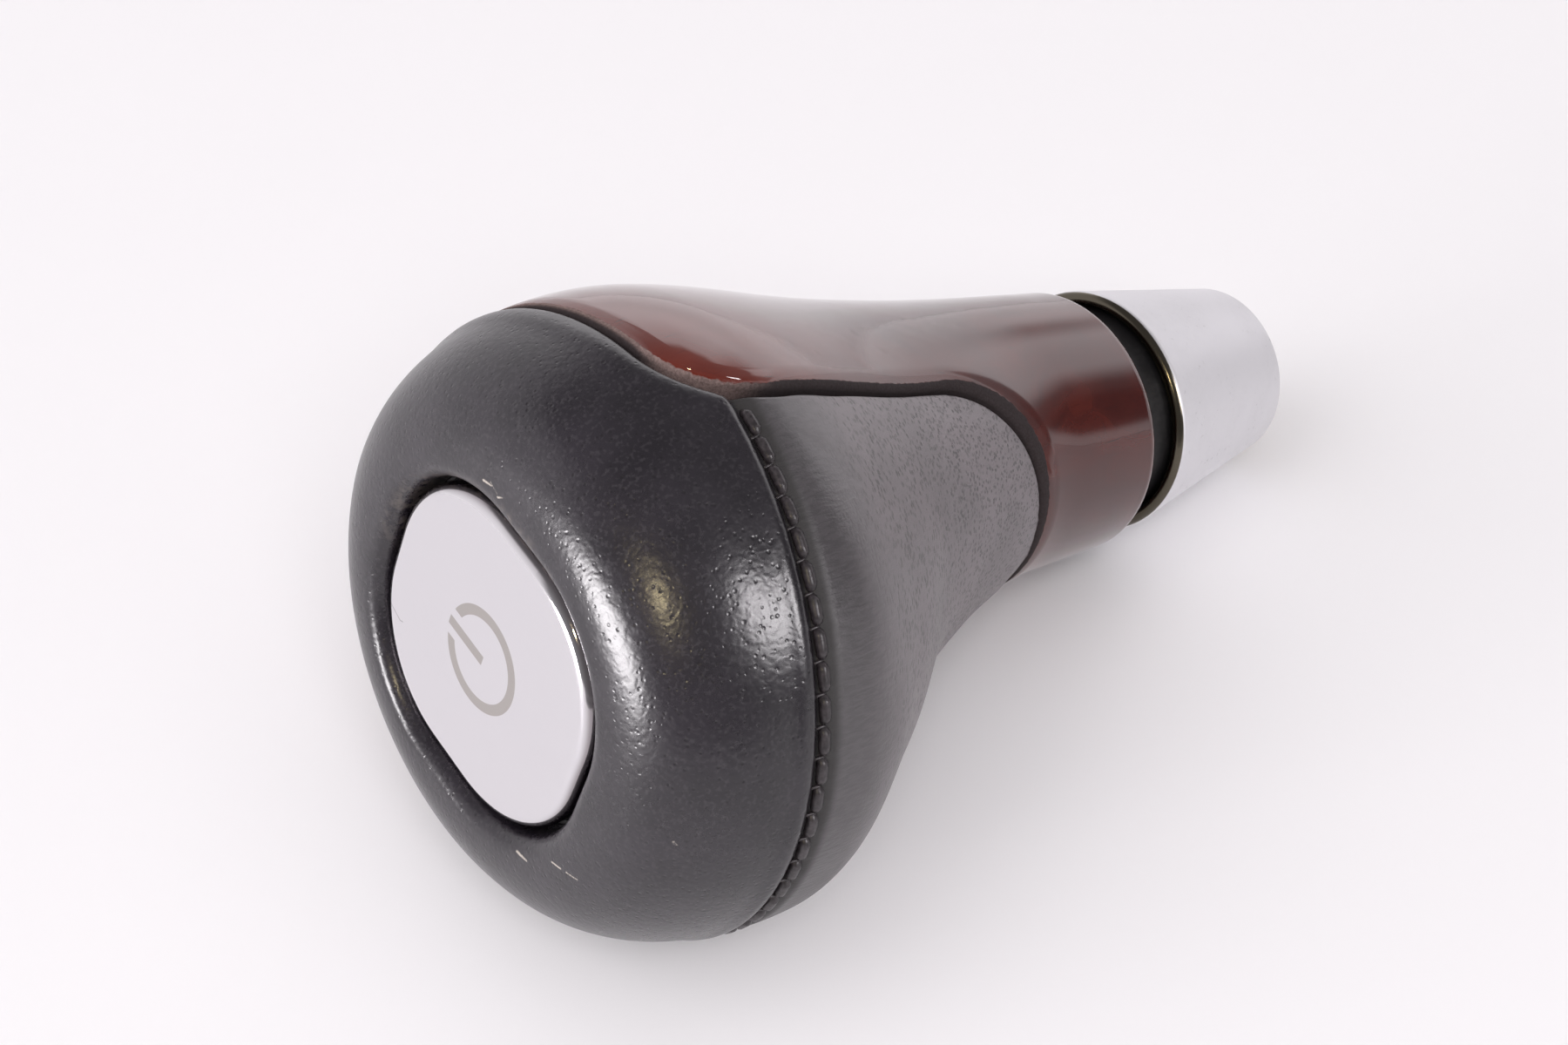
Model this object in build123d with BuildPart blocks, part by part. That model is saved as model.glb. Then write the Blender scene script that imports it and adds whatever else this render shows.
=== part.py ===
"""Gear shift knob with a push button in its head, a wood shell, sewn leather panels and a locking sleeve.

Units are millimetres. Z runs up the gear lever, +Y is towards the front of the car and +X is to the right.
The origin is the centre of the sleeve's lower end, where the lever goes in.
"""
import os
from math import atan, cos, hypot, pi, radians, sin, tan

from build123d import *

# Lever and the bush that slides over it
LEVER_DIAMETER = 10.0
LEVER_CLEARANCE = 0.05
BUSH_WALL = 1.35
BUSH_LENGTH = 30.0
BUSH_LEAD_IN = 0.3
BUSH_GROOVE_DEPTH = 0.4
BUSH_GROOVE_HEIGHT = 1.5
BUSH_GROOVES = 3
TUBE_END = 0.25

# Chromed locking sleeve
SLEEVE_HEIGHT = 22.0
SLEEVE_TOP_RADIUS = 13.6
SLEEVE_WALL = 1.2
SLEEVE_LIP_LAND = 0.12
SLEEVE_FLANGE_START = 2.4
SLEEVE_FLANGE_HEIGHT = 1.8
SLEEVE_FOOT_WALL = 0.75
SLEEVE_TURN = 90.0

# Core tube inside the sleeve, with the windows that the locking lugs turn in
TUBE_WALL = 1.55
LOCK_BASE = 11.0
LOCK_HEIGHT = 7.0
LUG_ANGLE = 36.0
LUG_HEIGHT = 4.0
LUG_DEPTH = 1.2
WINDOW_ROOM = 4.0

# Small parts of the sleeve's bearing
RUNNING_CLEARANCE = 0.06
MOVING_CLEARANCE = 0.3
GLUE_GAP = 0.1
CLIP_THICKNESS = 1.0
CLIP_GROOVE_DEPTH = 0.7
CLIP_WIDTH = 1.4
CLIP_OPENING = 50.0
WASHER_THICKNESS = 0.6

# Dark ring that shows between the sleeve and the wood
NECK_GAP = 4.4
NECK_RING_ROOM = 0.45
NECK_RING_OVERLAP = 2.0

# Sections of the knob: height, half width, reach to the front, reach to the rear
FOOT_SECTION = (SLEEVE_HEIGHT + NECK_GAP, 14.3, 14.3, 14.3)
WAIST_SECTION = (45.0, 16.1, 14.6, 17.4)
THROAT_SECTION = (62.0, 20.3, 20.4, 20.5)
SWELL_SECTION = (76.0, 25.7, 30.2, 23.6)
BROW_SECTION = (87.6, 29.3, 36.0, 24.7)
NECK_SECTIONS = [FOOT_SECTION, WAIST_SECTION, THROAT_SECTION, SWELL_SECTION, BROW_SECTION]
CROWN_HEIGHT = 18.4
CROWN_POWER = 2.2
NECK_STEPS = 9
CROWN_STEPS = 6
FOOT_ROUNDING = 1.3

# Where the wood gives way to leather, seen from the side
TONGUE_TIP = 44.2
TONGUE_SIDE = 3.1
TONGUE_ROUNDING = 12.0
WOOD_TOP = 93.7
WOOD_TOP_SIDE = 8.6
WOOD_TOP_ROUNDING = 9.4
WOOD_WALL = 3.0
WOOD_EDGE_ROUNDING = 0.6
GROOVE_WIDTH = 1.3
GROOVE_AT_TIP = 0.4
GROOVE_AT_TOP = 0.7
LEATHER_WALL = 1.4

# Sewn seam round the front of the head
SEAM_SIDE_HEIGHT = 90.25
SEAM_RISE_ANGLE = 7.0
SEAM_GAP = 0.1

# Push button
BUTTON_WIDTH = 28.9
BUTTON_DEPTH = 29.8
BUTTON_CORNER = 12.3
BUTTON_FORWARD = 5.2
BUTTON_DROP = 0.6
BUTTON_HEIGHT = 5.4
BUTTON_TOP_WALL = 1.5
BUTTON_SIDE_WALL = 1.3
BUTTON_EDGE_ROUNDING = 1.4
BUTTON_TRAVEL = 1.6
LIP_GAP = 0.9
LIP_WALL = 1.6
LIP_ROUNDING = 0.9
LIP_LAND = 0.2
TUCK_DEPTH = 4.4

# Slider under the button and the bezel round it
SLIDER_PLATE = 2.2
STEM_RADIUS = 3.0
LEG_RADIUS = 1.5
LEG_EDGE = 0.55
LEG_ROOM = 0.8

# Switch carrier, board and switch
CARRIER_REACH = 2.45
CARRIER_FLOOR = 2.0
CARRIER_WALL = 1.6
CARRIER_HEIGHT = 11.8
CARRIER_LEDGE = 6.0
CARRIER_LEDGE_WIDTH = 1.4
GUIDE_WALL = 1.3
BOARD_THICKNESS = 1.6
SWITCH_SIZE = 6.2
SWITCH_HEIGHT = 3.6
PLUNGER_RADIUS = 1.7
PLUNGER_SUNK = 0.6
DOME_ROOM = 0.55
DOME_TOP_RADIUS = 5.2
DOME_WALL = 0.8
SCREW_RADIUS = 1.25
SCREW_LENGTH = 8.0
SCREW_HEAD_RADIUS = 2.3
SCREW_HEAD_HEIGHT = 1.6
SCREW_ROOM = 0.4
SCREW_COUNT = 3

# Lead through the core, its socket and the contacts above the lever
LEAD_RADIUS = 2.0
SOCKET_SIZE = (8.0, 5.0, 2.4)
CONTACT_BLOCK_HEIGHT = 9.0
CONTACT_PIN_RADIUS = 0.7
CONTACT_PIN_REACH = 3.0
CONTACT_PIN_CIRCLE = 3.0
CONTACT_PIN_COUNT = 3
CONTACT_TAIL = 1.0

# Hollow of the core under the carrier
HOLLOW_FLOOR = 57.0
HOLLOW_FLOOR_RADIUS = 9.0
HOLLOW_TOP_RADIUS = 14.6
HOLLOW_RIBS = 4
RIB_THICKNESS = 2.0
LEAD_TUBE_WALL = 1.8
SCREW_BOSS_WALL = 1.7

# Sizes that follow from the ones above
lever_bore_radius = LEVER_DIAMETER / 2 + LEVER_CLEARANCE
bush_radius = lever_bore_radius + BUSH_WALL
tube_bore_radius = bush_radius + GLUE_GAP / 2
tube_radius = tube_bore_radius + TUBE_WALL
sleeve_bore_radius = tube_radius + RUNNING_CLEARANCE
foot_height = FOOT_SECTION[0]
brow_height = BROW_SECTION[0]
core_under_wood = WOOD_WALL + GLUE_GAP
core_under_leather = LEATHER_WALL + GLUE_GAP
knob_height = brow_height + CROWN_HEIGHT
button_top = knob_height - BUTTON_DROP
button_foot = button_top - BUTTON_HEIGHT
slider_top = button_top - BUTTON_TOP_WALL - GLUE_GAP
slider_foot = slider_top - SLIDER_PLATE
leather_tuck = knob_height - TUCK_DEPTH
bezel_top = leather_tuck - GLUE_GAP
bezel_foot = button_foot - BUTTON_TRAVEL - MOVING_CLEARANCE
carrier_top = bezel_foot - GLUE_GAP
carrier_foot = carrier_top - CARRIER_HEIGHT
carrier_floor = carrier_foot + CARRIER_FLOOR
board_foot = carrier_foot + CARRIER_LEDGE + GLUE_GAP
board_top = board_foot + BOARD_THICKNESS
switch_top = board_top + SWITCH_HEIGHT
stem_foot = switch_top + BUTTON_TRAVEL + MOVING_CLEARANCE
leg_foot = carrier_floor + BUTTON_TRAVEL + LEG_ROOM
bush_top = TUBE_END + BUSH_LENGTH
block_foot = bush_top + CONTACT_PIN_REACH + GLUE_GAP
block_top = block_foot + CONTACT_BLOCK_HEIGHT
socket_foot = board_foot - SOCKET_SIZE[2]
clip_foot = SLEEVE_FLANGE_START - GLUE_GAP - CLIP_THICKNESS
clip_bore_radius = tube_radius - CLIP_GROOVE_DEPTH + GLUE_GAP / 2
lug_foot = LOCK_BASE + (LOCK_HEIGHT - LUG_HEIGHT) / 2
lock_top = LOCK_BASE + LOCK_HEIGHT
neck_ring_foot = SLEEVE_HEIGHT - NECK_RING_OVERLAP
neck_ring_top = foot_height - GLUE_GAP
clip_radius = clip_bore_radius + CLIP_WIDTH
sleeve_recess_radius = clip_radius + MOVING_CLEARANCE
sleeve_foot_radius = sleeve_recess_radius + SLEEVE_FOOT_WALL
flange_top = SLEEVE_FLANGE_START + SLEEVE_FLANGE_HEIGHT
sleeve_flare = atan((SLEEVE_TOP_RADIUS - sleeve_foot_radius) / SLEEVE_HEIGHT)
sleeve_lip_rounding = (SLEEVE_WALL - SLEEVE_LIP_LAND) * tan(pi / 4 - sleeve_flare / 2)
washer_foot = lock_top + MOVING_CLEARANCE
washer_top = neck_ring_foot - GLUE_GAP
carrier_radius = BUTTON_WIDTH / 2 + CARRIER_REACH
carrier_bore_radius = carrier_radius + GLUE_GAP
carrier_inner_radius = carrier_radius - CARRIER_WALL
cup_radius = carrier_inner_radius - CARRIER_LEDGE_WIDTH
board_radius = carrier_inner_radius - GLUE_GAP
guide_bore_radius = LEG_RADIUS + LEVER_CLEARANCE
guide_radius = guide_bore_radius + GUIDE_WALL
leg_spread = BUTTON_WIDTH / 2 - BUTTON_SIDE_WALL - GLUE_GAP - LEG_EDGE - LEG_RADIUS
dome_foot_radius = leg_spread - guide_radius - DOME_ROOM
screw_circle = cup_radius - SCREW_HEAD_RADIUS - SCREW_ROOM
lead_hole_radius = LEAD_RADIUS + MOVING_CLEARANCE
lip_outside = LIP_GAP + LIP_WALL
far = 2 * knob_height


def button_axis(height):
    """A level plane at a height, centred on the button."""
    return Plane((0, BUTTON_FORWARD, height))


def sleeve_radius(height):
    """Radius of the sleeve's outside at a height."""
    return sleeve_foot_radius + (SLEEVE_TOP_RADIUS - sleeve_foot_radius) * height / SLEEVE_HEIGHT


neck_ring_radius = sleeve_radius(neck_ring_foot) - SLEEVE_WALL - NECK_RING_ROOM


def neck_slopes():
    """How each named section changes with height: level at the brow, where the crown takes over."""
    heights = [section[0] for section in NECK_SECTIONS]
    last = len(NECK_SECTIONS) - 1
    slopes = []
    for place, section in enumerate(NECK_SECTIONS):
        before = NECK_SECTIONS[max(place - 1, 0)]
        after = NECK_SECTIONS[min(place + 1, last)]
        rise = heights[min(place + 1, last)] - heights[max(place - 1, 0)]
        slopes.append([0 if place == last else (far_end - near_end) / rise
                       for near_end, far_end in zip(before[1:], after[1:])])
    return slopes


def neck_section(height):
    """Section of the neck at a height, on a smooth curve through the named sections."""
    place = max(i for i in range(len(NECK_SECTIONS) - 1) if NECK_SECTIONS[i][0] <= height)
    below, above = NECK_SECTIONS[place], NECK_SECTIONS[place + 1]
    slopes = neck_slopes()
    rise = above[0] - below[0]
    t = (height - below[0]) / rise
    blend = t * t * (3 - 2 * t)
    leave = t * (1 - t) ** 2 * rise
    arrive = t * t * (t - 1) * rise
    sizes = [
        low + (high - low) * blend + low_slope * leave + high_slope * arrive
        for low, high, low_slope, high_slope in zip(below[1:], above[1:], slopes[place], slopes[place + 1])
    ]
    return (height, *sizes)


def crown_sections():
    """Sections from the brow up to the land round the button, on a superellipse."""
    corner = (BUTTON_CORNER + LIP_GAP + LIP_ROUNDING + LIP_LAND) * cos(radians(45)) - BUTTON_CORNER
    growth = hypot(1 + corner / (BUTTON_WIDTH / 2), 1 + corner / (BUTTON_DEPTH / 2))
    land = growth * BUTTON_WIDTH / 2
    land_depth = growth * BUTTON_DEPTH / 2
    height, width, front, rear = BROW_SECTION
    for step in range(1, CROWN_STEPS + 1):
        turn = radians(90 * step / CROWN_STEPS)
        inward = max(cos(turn), 0) ** (2 / CROWN_POWER)
        upward = sin(turn) ** (2 / CROWN_POWER)
        yield (
            height + CROWN_HEIGHT * upward,
            land + (width - land) * inward,
            BUTTON_FORWARD + land_depth + (front - BUTTON_FORWARD - land_depth) * inward,
            land_depth - BUTTON_FORWARD + (rear + BUTTON_FORWARD - land_depth) * inward,
        )


def knob_form(inset):
    """The knob's smooth outside, moved inwards by inset."""
    step = (brow_height - foot_height) / NECK_STEPS
    neck = [neck_section(foot_height + step * count) for count in range(NECK_STEPS)]
    with BuildPart() as form:
        for height, width, front, rear in [*neck, BROW_SECTION, *crown_sections()]:
            above_brow = max(height - brow_height, 0)
            sunk = inset * above_brow / CROWN_HEIGHT
            with BuildSketch(Plane.XY.offset(height - sunk)):
                with Locations((0, (front - rear) / 2)):
                    Ellipse((front + rear) / 2 - inset, width - inset, rotation=-90)
        loft()
    return form.part


def wood_side(beside, at_tip, at_top):
    """A prism over the part of the knob that the wood covers, grown by the gaps given."""
    tip = TONGUE_TIP + at_tip
    top = WOOD_TOP + at_top
    with BuildPart() as prism:
        with BuildSketch(Plane.YZ):
            with BuildLine():
                edge = FilletPolyline(
                    (far, tip),
                    (TONGUE_SIDE + beside, tip),
                    (WOOD_TOP_SIDE + beside, top),
                    (-far, top),
                    radius=[TONGUE_ROUNDING - beside, WOOD_TOP_ROUNDING + beside],
                )
                Polyline(edge @ 1, (-far, -far), (far, -far), edge @ 0)
            make_face()
        extrude(amount=far, both=True)
    return prism.part


def button_outline(room):
    """The button's rounded outline in the current sketch, grown by room on every side."""
    RectangleRounded(BUTTON_WIDTH + 2 * room, BUTTON_DEPTH + 2 * room, BUTTON_CORNER + room)


def sector(radius, start, size):
    """A pie slice about the origin."""
    with BuildSketch() as slice_of_pie:
        with BuildLine():
            rim = CenterArc((0, 0), radius, start, size)
            Polyline(rim @ 1, (0, 0), rim @ 0)
        make_face()
    return slice_of_pie.sketch


outside = knob_form(0)
leather_inside = knob_form(LEATHER_WALL)
leather_bed = knob_form(core_under_leather)
wood_inside = knob_form(WOOD_WALL)
wood_bed = knob_form(core_under_wood)
wood_prism = wood_side(0, 0, 0)
groove_prism = wood_side(GROOVE_WIDTH, GROOVE_AT_TIP, GROOVE_AT_TOP)
seam_plane = Plane(
    (0, WOOD_TOP_SIDE + GROOVE_WIDTH, SEAM_SIDE_HEIGHT),
    x_dir=(1, 0, 0),
    z_dir=(0, -sin(radians(SEAM_RISE_ANGLE)), cos(radians(SEAM_RISE_ANGLE))),
)
window_angle = LUG_ANGLE + WINDOW_ROOM + SLEEVE_TURN
window_start = -(LUG_ANGLE + WINDOW_ROOM) / 2
windows = [sector(tube_radius + GLUE_GAP, side + window_start, window_angle) for side in (0, 180)]
lugs = [sector(sleeve_bore_radius + GLUE_GAP, side - LUG_ANGLE / 2, LUG_ANGLE) for side in (0, 180)]
clip_slice = sector(clip_radius, CLIP_OPENING / 2 - 90, 360 - CLIP_OPENING)
screw_places = PolarLocations(screw_circle, SCREW_COUNT, start_angle=90).local_locations


# Hollow under the switch carrier, with ribs, a tube for the lead and bosses for the screws
with BuildPart() as hollow:
    with BuildSketch(Plane.XY.offset(HOLLOW_FLOOR)):
        Circle(HOLLOW_FLOOR_RADIUS)
    with BuildSketch(button_axis(carrier_foot)):
        Circle(HOLLOW_TOP_RADIUS)
    loft()
    with BuildSketch(Plane.XY.offset(HOLLOW_FLOOR)):
        Circle(lead_hole_radius + LEAD_TUBE_WALL)
        with PolarLocations(0, HOLLOW_RIBS // 2, start_angle=45, angular_range=180):
            Rectangle(far, RIB_THICKNESS)
    extrude(amount=carrier_foot - HOLLOW_FLOOR, mode=Mode.SUBTRACT)
    with BuildSketch(button_axis(HOLLOW_FLOOR)):
        with Locations(*screw_places):
            Circle(SCREW_RADIUS + SCREW_BOSS_WALL)
    extrude(amount=carrier_foot - HOLLOW_FLOOR, mode=Mode.SUBTRACT)

# Moulded core: neck tube, a bed for the wood and a higher bed for the leather
with BuildPart() as knob_core:
    add(leather_bed)
    add(groove_prism, mode=Mode.SUBTRACT)
    add(wood_bed)
    with BuildSketch(Plane.XY.offset(TUBE_END)):
        Circle(tube_radius)
    extrude(amount=foot_height - TUBE_END)
    with BuildSketch(Plane.XY.offset(TUBE_END)):
        Circle(tube_bore_radius)
    extrude(amount=block_top + CONTACT_TAIL + GLUE_GAP - TUBE_END, mode=Mode.SUBTRACT)
    with BuildSketch(Plane.XY.offset(block_top)):
        Circle(lead_hole_radius)
    extrude(amount=knob_height - block_top, mode=Mode.SUBTRACT)
    with BuildSketch(Plane.XY.offset(clip_foot - GLUE_GAP / 2)):
        Circle(tube_radius)
        Circle(tube_radius - CLIP_GROOVE_DEPTH, mode=Mode.SUBTRACT)
    extrude(amount=CLIP_THICKNESS + GLUE_GAP, mode=Mode.SUBTRACT)
    with BuildSketch(Plane.XY.offset(lug_foot - MOVING_CLEARANCE)):
        add(windows)
    extrude(amount=LUG_HEIGHT + 2 * MOVING_CLEARANCE, mode=Mode.SUBTRACT)
    add(hollow.part, mode=Mode.SUBTRACT)
    with BuildSketch(button_axis(carrier_foot - GLUE_GAP)):
        Circle(carrier_bore_radius)
    extrude(amount=bezel_foot - carrier_foot + GLUE_GAP, mode=Mode.SUBTRACT)
    with BuildSketch(button_axis(bezel_foot - GLUE_GAP)):
        button_outline(lip_outside + GLUE_GAP)
    extrude(amount=knob_height, mode=Mode.SUBTRACT)
    with BuildSketch(button_axis(carrier_foot)):
        with Locations(*screw_places):
            Circle(SCREW_RADIUS + LEVER_CLEARANCE)
    extrude(amount=CARRIER_FLOOR - SCREW_LENGTH - GLUE_GAP, mode=Mode.SUBTRACT)

# Lacquered wood shell: a ring round the neck that opens into the back of the head
with BuildPart() as wood_shell:
    add(outside)
    foot_edge = wood_shell.edges().filter_by_position(Axis.Z, foot_height - 0.01, foot_height + 0.01)
    fillet(foot_edge, FOOT_ROUNDING)
    add(wood_prism, mode=Mode.INTERSECT)
    cut_faces = wood_shell.faces().filter_by(GeomType.BSPLINE, reverse=True)
    cut_faces = cut_faces.filter_by_position(Axis.Z, TONGUE_TIP - WOOD_EDGE_ROUNDING, knob_height)
    fillet(cut_faces.edges().filter_by(GeomType.LINE, reverse=True), WOOD_EDGE_ROUNDING)
    add(wood_inside, mode=Mode.SUBTRACT)

# Leather before it is cut along the seam
with BuildPart() as leather_blank:
    add(outside)
    add(leather_inside, mode=Mode.SUBTRACT)
    add(groove_prism, mode=Mode.SUBTRACT)

# Front leather panel with its tongue down the neck
with BuildPart() as leather_skirt:
    add(leather_blank.part)
    split(bisect_by=seam_plane.offset(-SEAM_GAP / 2), keep=Keep.BOTTOM)

# Top leather panel, tucked down round the button
with BuildPart() as leather_cap:
    add(leather_blank.part)
    split(bisect_by=seam_plane.offset(SEAM_GAP / 2), keep=Keep.TOP)
    with BuildSketch(button_axis(leather_tuck)):
        button_outline(lip_outside)
    extrude(amount=TUCK_DEPTH - LEATHER_WALL / 2)
    with BuildSketch(button_axis(leather_tuck)):
        button_outline(LIP_GAP)
    extrude(amount=knob_height, mode=Mode.SUBTRACT)
    lip_edges = leather_cap.faces().sort_by(Axis.Z)[-1].inner_wires()[0].edges()
    fillet(lip_edges, LIP_ROUNDING)

# Chromed button cap
with BuildPart() as button_cap:
    with BuildSketch(button_axis(button_foot)):
        button_outline(0)
    extrude(amount=BUTTON_HEIGHT)
    fillet(button_cap.faces().sort_by(Axis.Z)[-1].edges(), BUTTON_EDGE_ROUNDING)
    with BuildSketch(button_axis(button_foot)):
        button_outline(-BUTTON_SIDE_WALL)
    extrude(amount=BUTTON_HEIGHT - BUTTON_TOP_WALL, mode=Mode.SUBTRACT)

# Slider inside the cap: a plate with a stem over the switch and two guide legs
with BuildPart() as button_slider:
    with BuildSketch(button_axis(slider_foot)):
        button_outline(-BUTTON_SIDE_WALL - GLUE_GAP)
    extrude(amount=SLIDER_PLATE)
    with BuildSketch(button_axis(stem_foot)):
        Circle(STEM_RADIUS)
    extrude(amount=slider_foot - stem_foot)
    with BuildSketch(button_axis(leg_foot)):
        with Locations((-leg_spread, 0), (leg_spread, 0)):
            Circle(LEG_RADIUS)
    extrude(amount=slider_foot - leg_foot)

# Bezel that the leather is tucked against
with BuildPart() as button_bezel:
    with BuildSketch(button_axis(bezel_foot)):
        button_outline(lip_outside)
    extrude(amount=bezel_top - bezel_foot)
    with BuildSketch(button_axis(bezel_foot)):
        button_outline(MOVING_CLEARANCE)
    extrude(amount=bezel_top - bezel_foot, mode=Mode.SUBTRACT)

# Carrier: a cup with a ledge for the board and two guide tubes for the legs
with BuildPart() as switch_carrier:
    with BuildSketch(button_axis(carrier_foot)):
        Circle(carrier_radius)
    extrude(amount=CARRIER_HEIGHT)
    with BuildSketch(button_axis(carrier_floor)):
        Circle(cup_radius)
    extrude(amount=CARRIER_HEIGHT, mode=Mode.SUBTRACT)
    with BuildSketch(button_axis(carrier_foot + CARRIER_LEDGE)):
        Circle(carrier_inner_radius)
    extrude(amount=CARRIER_HEIGHT, mode=Mode.SUBTRACT)
    with BuildSketch(button_axis(carrier_foot)):
        with Locations((-leg_spread, 0), (leg_spread, 0)):
            Circle(guide_radius)
    extrude(amount=switch_top - carrier_foot)
    with BuildSketch(button_axis(carrier_floor)):
        with Locations((-leg_spread, 0), (leg_spread, 0)):
            Circle(guide_bore_radius)
    extrude(amount=CARRIER_HEIGHT, mode=Mode.SUBTRACT)
    with BuildSketch(button_axis(carrier_foot)):
        with Locations(*screw_places):
            Circle(SCREW_RADIUS + LEVER_CLEARANCE)
        with Locations((0, -BUTTON_FORWARD)):
            Circle(lead_hole_radius)
    extrude(amount=CARRIER_FLOOR, mode=Mode.SUBTRACT)

# Screws that hold the carrier down
with BuildPart() as carrier_screws:
    with BuildSketch(button_axis(carrier_floor)):
        with Locations(*screw_places):
            Circle(SCREW_HEAD_RADIUS)
    extrude(amount=SCREW_HEAD_HEIGHT)
    with BuildSketch(button_axis(carrier_floor)):
        with Locations(*screw_places):
            Circle(SCREW_RADIUS)
    extrude(amount=-SCREW_LENGTH)

# Round circuit board on the carrier's ledge
with BuildPart() as circuit_board:
    with BuildSketch(button_axis(board_foot)):
        Circle(board_radius)
        with Locations((-leg_spread, 0), (leg_spread, 0)):
            Circle(guide_radius + MOVING_CLEARANCE, mode=Mode.SUBTRACT)
    extrude(amount=BOARD_THICKNESS)

# Switch on the board, with a well for its plunger
with BuildPart() as switch_body:
    with BuildSketch(button_axis(board_top)):
        Rectangle(SWITCH_SIZE, SWITCH_SIZE)
    extrude(amount=SWITCH_HEIGHT)
    with BuildSketch(button_axis(switch_top)):
        Circle(PLUNGER_RADIUS + LEVER_CLEARANCE)
    extrude(amount=-(PLUNGER_SUNK + BUTTON_TRAVEL + MOVING_CLEARANCE), mode=Mode.SUBTRACT)

with BuildPart() as switch_plunger:
    with BuildSketch(button_axis(switch_top - PLUNGER_SUNK)):
        Circle(PLUNGER_RADIUS)
    extrude(amount=stem_foot - GLUE_GAP - switch_top + PLUNGER_SUNK)

# Silicone dome that pushes the slider back up
with BuildPart() as return_dome:
    with BuildSketch(Plane.XZ):
        with BuildLine():
            Polyline(
                (dome_foot_radius, board_top),
                (dome_foot_radius, board_top + DOME_WALL),
                (DOME_TOP_RADIUS, slider_foot - GLUE_GAP - DOME_WALL),
                (DOME_TOP_RADIUS, slider_foot - GLUE_GAP),
                (STEM_RADIUS + MOVING_CLEARANCE, slider_foot - GLUE_GAP),
                (STEM_RADIUS + MOVING_CLEARANCE, slider_foot - GLUE_GAP - DOME_WALL),
                (DOME_TOP_RADIUS - DOME_WALL, slider_foot - GLUE_GAP - DOME_WALL),
                (dome_foot_radius - DOME_WALL, board_top + DOME_WALL),
                (dome_foot_radius - DOME_WALL, board_top),
                close=True,
            )
        make_face()
    revolve(axis=Axis.Z)
return_dome.part = Pos(0, BUTTON_FORWARD, 0) * return_dome.part

# Socket under the board and the lead that runs down the core to the contacts
with BuildPart() as lead_socket:
    with BuildSketch(Plane.XY.offset(socket_foot)):
        Rectangle(SOCKET_SIZE[0], SOCKET_SIZE[1])
    extrude(amount=SOCKET_SIZE[2])

with BuildPart() as switch_lead:
    with BuildSketch(Plane.XY.offset(block_top)):
        Circle(LEAD_RADIUS)
    extrude(amount=socket_foot - block_top)

# Contact block above the lever, with its pins
with BuildPart() as contact_block:
    with BuildSketch(Plane.XY.offset(block_foot)):
        Circle(bush_radius)
        with PolarLocations(CONTACT_PIN_CIRCLE, CONTACT_PIN_COUNT):
            Circle(CONTACT_PIN_RADIUS + LEVER_CLEARANCE, mode=Mode.SUBTRACT)
    extrude(amount=CONTACT_BLOCK_HEIGHT)

with BuildPart() as contact_pins:
    with BuildSketch(Plane.XY.offset(bush_top + GLUE_GAP)):
        with PolarLocations(CONTACT_PIN_CIRCLE, CONTACT_PIN_COUNT):
            Circle(CONTACT_PIN_RADIUS)
    extrude(amount=block_top + CONTACT_TAIL - bush_top - GLUE_GAP)

# Metal bush that slides over the lever
with BuildPart() as lever_bush:
    with BuildSketch(Plane.XY.offset(TUBE_END)):
        Circle(bush_radius)
        Circle(lever_bore_radius, mode=Mode.SUBTRACT)
    extrude(amount=BUSH_LENGTH)
    lead_in = lever_bush.edges().filter_by(GeomType.CIRCLE).group_by(Axis.Z)[0].sort_by(SortBy.RADIUS)[0]
    chamfer(lead_in, BUSH_LEAD_IN)
    for count in range(1, BUSH_GROOVES + 1):
        with BuildSketch(Plane.XY.offset(TUBE_END + BUSH_LENGTH * count / (BUSH_GROOVES + 1))):
            Circle(bush_radius)
            Circle(bush_radius - BUSH_GROOVE_DEPTH, mode=Mode.SUBTRACT)
        extrude(amount=BUSH_GROOVE_HEIGHT, mode=Mode.SUBTRACT)

# Dark ring between the sleeve and the wood
with BuildPart() as neck_ring:
    with BuildSketch(Plane.XY.offset(neck_ring_foot)):
        Circle(neck_ring_radius)
        Circle(tube_radius + GLUE_GAP / 2, mode=Mode.SUBTRACT)
    extrude(amount=neck_ring_top - neck_ring_foot)

# Conical sleeve with a rounded lip, an inner flange that runs on the tube and a recess for the clip
with BuildPart() as chrome_sleeve:
    with BuildSketch(Plane.XZ):
        with BuildLine():
            Polyline(
                (sleeve_recess_radius, 0),
                (sleeve_foot_radius, 0),
                (SLEEVE_TOP_RADIUS, SLEEVE_HEIGHT),
                (SLEEVE_TOP_RADIUS - SLEEVE_WALL, SLEEVE_HEIGHT),
                (sleeve_radius(flange_top) - SLEEVE_WALL, flange_top),
                (sleeve_bore_radius, flange_top),
                (sleeve_bore_radius, SLEEVE_FLANGE_START),
                (sleeve_recess_radius, SLEEVE_FLANGE_START),
                close=True,
            )
        make_face()
    revolve(axis=Axis.Z)
    lip = chrome_sleeve.edges().filter_by(GeomType.CIRCLE).group_by(Axis.Z)[-1].sort_by(SortBy.RADIUS)[-1]
    fillet(lip, sleeve_lip_rounding)

# Locking ring fixed in the sleeve, with two lugs in the tube's windows
with BuildPart() as locking_ring:
    with BuildSketch(Plane.XZ):
        with BuildLine():
            Polyline(
                (sleeve_bore_radius, LOCK_BASE),
                (sleeve_radius(LOCK_BASE) - SLEEVE_WALL - GLUE_GAP, LOCK_BASE),
                (sleeve_radius(lock_top) - SLEEVE_WALL - GLUE_GAP, lock_top),
                (sleeve_bore_radius, lock_top),
                close=True,
            )
        make_face()
    revolve(axis=Axis.Z)
    with BuildSketch(Plane.XY.offset(lug_foot)):
        add(lugs)
        Circle(tube_radius - LUG_DEPTH, mode=Mode.SUBTRACT)
    extrude(amount=LUG_HEIGHT)

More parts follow.
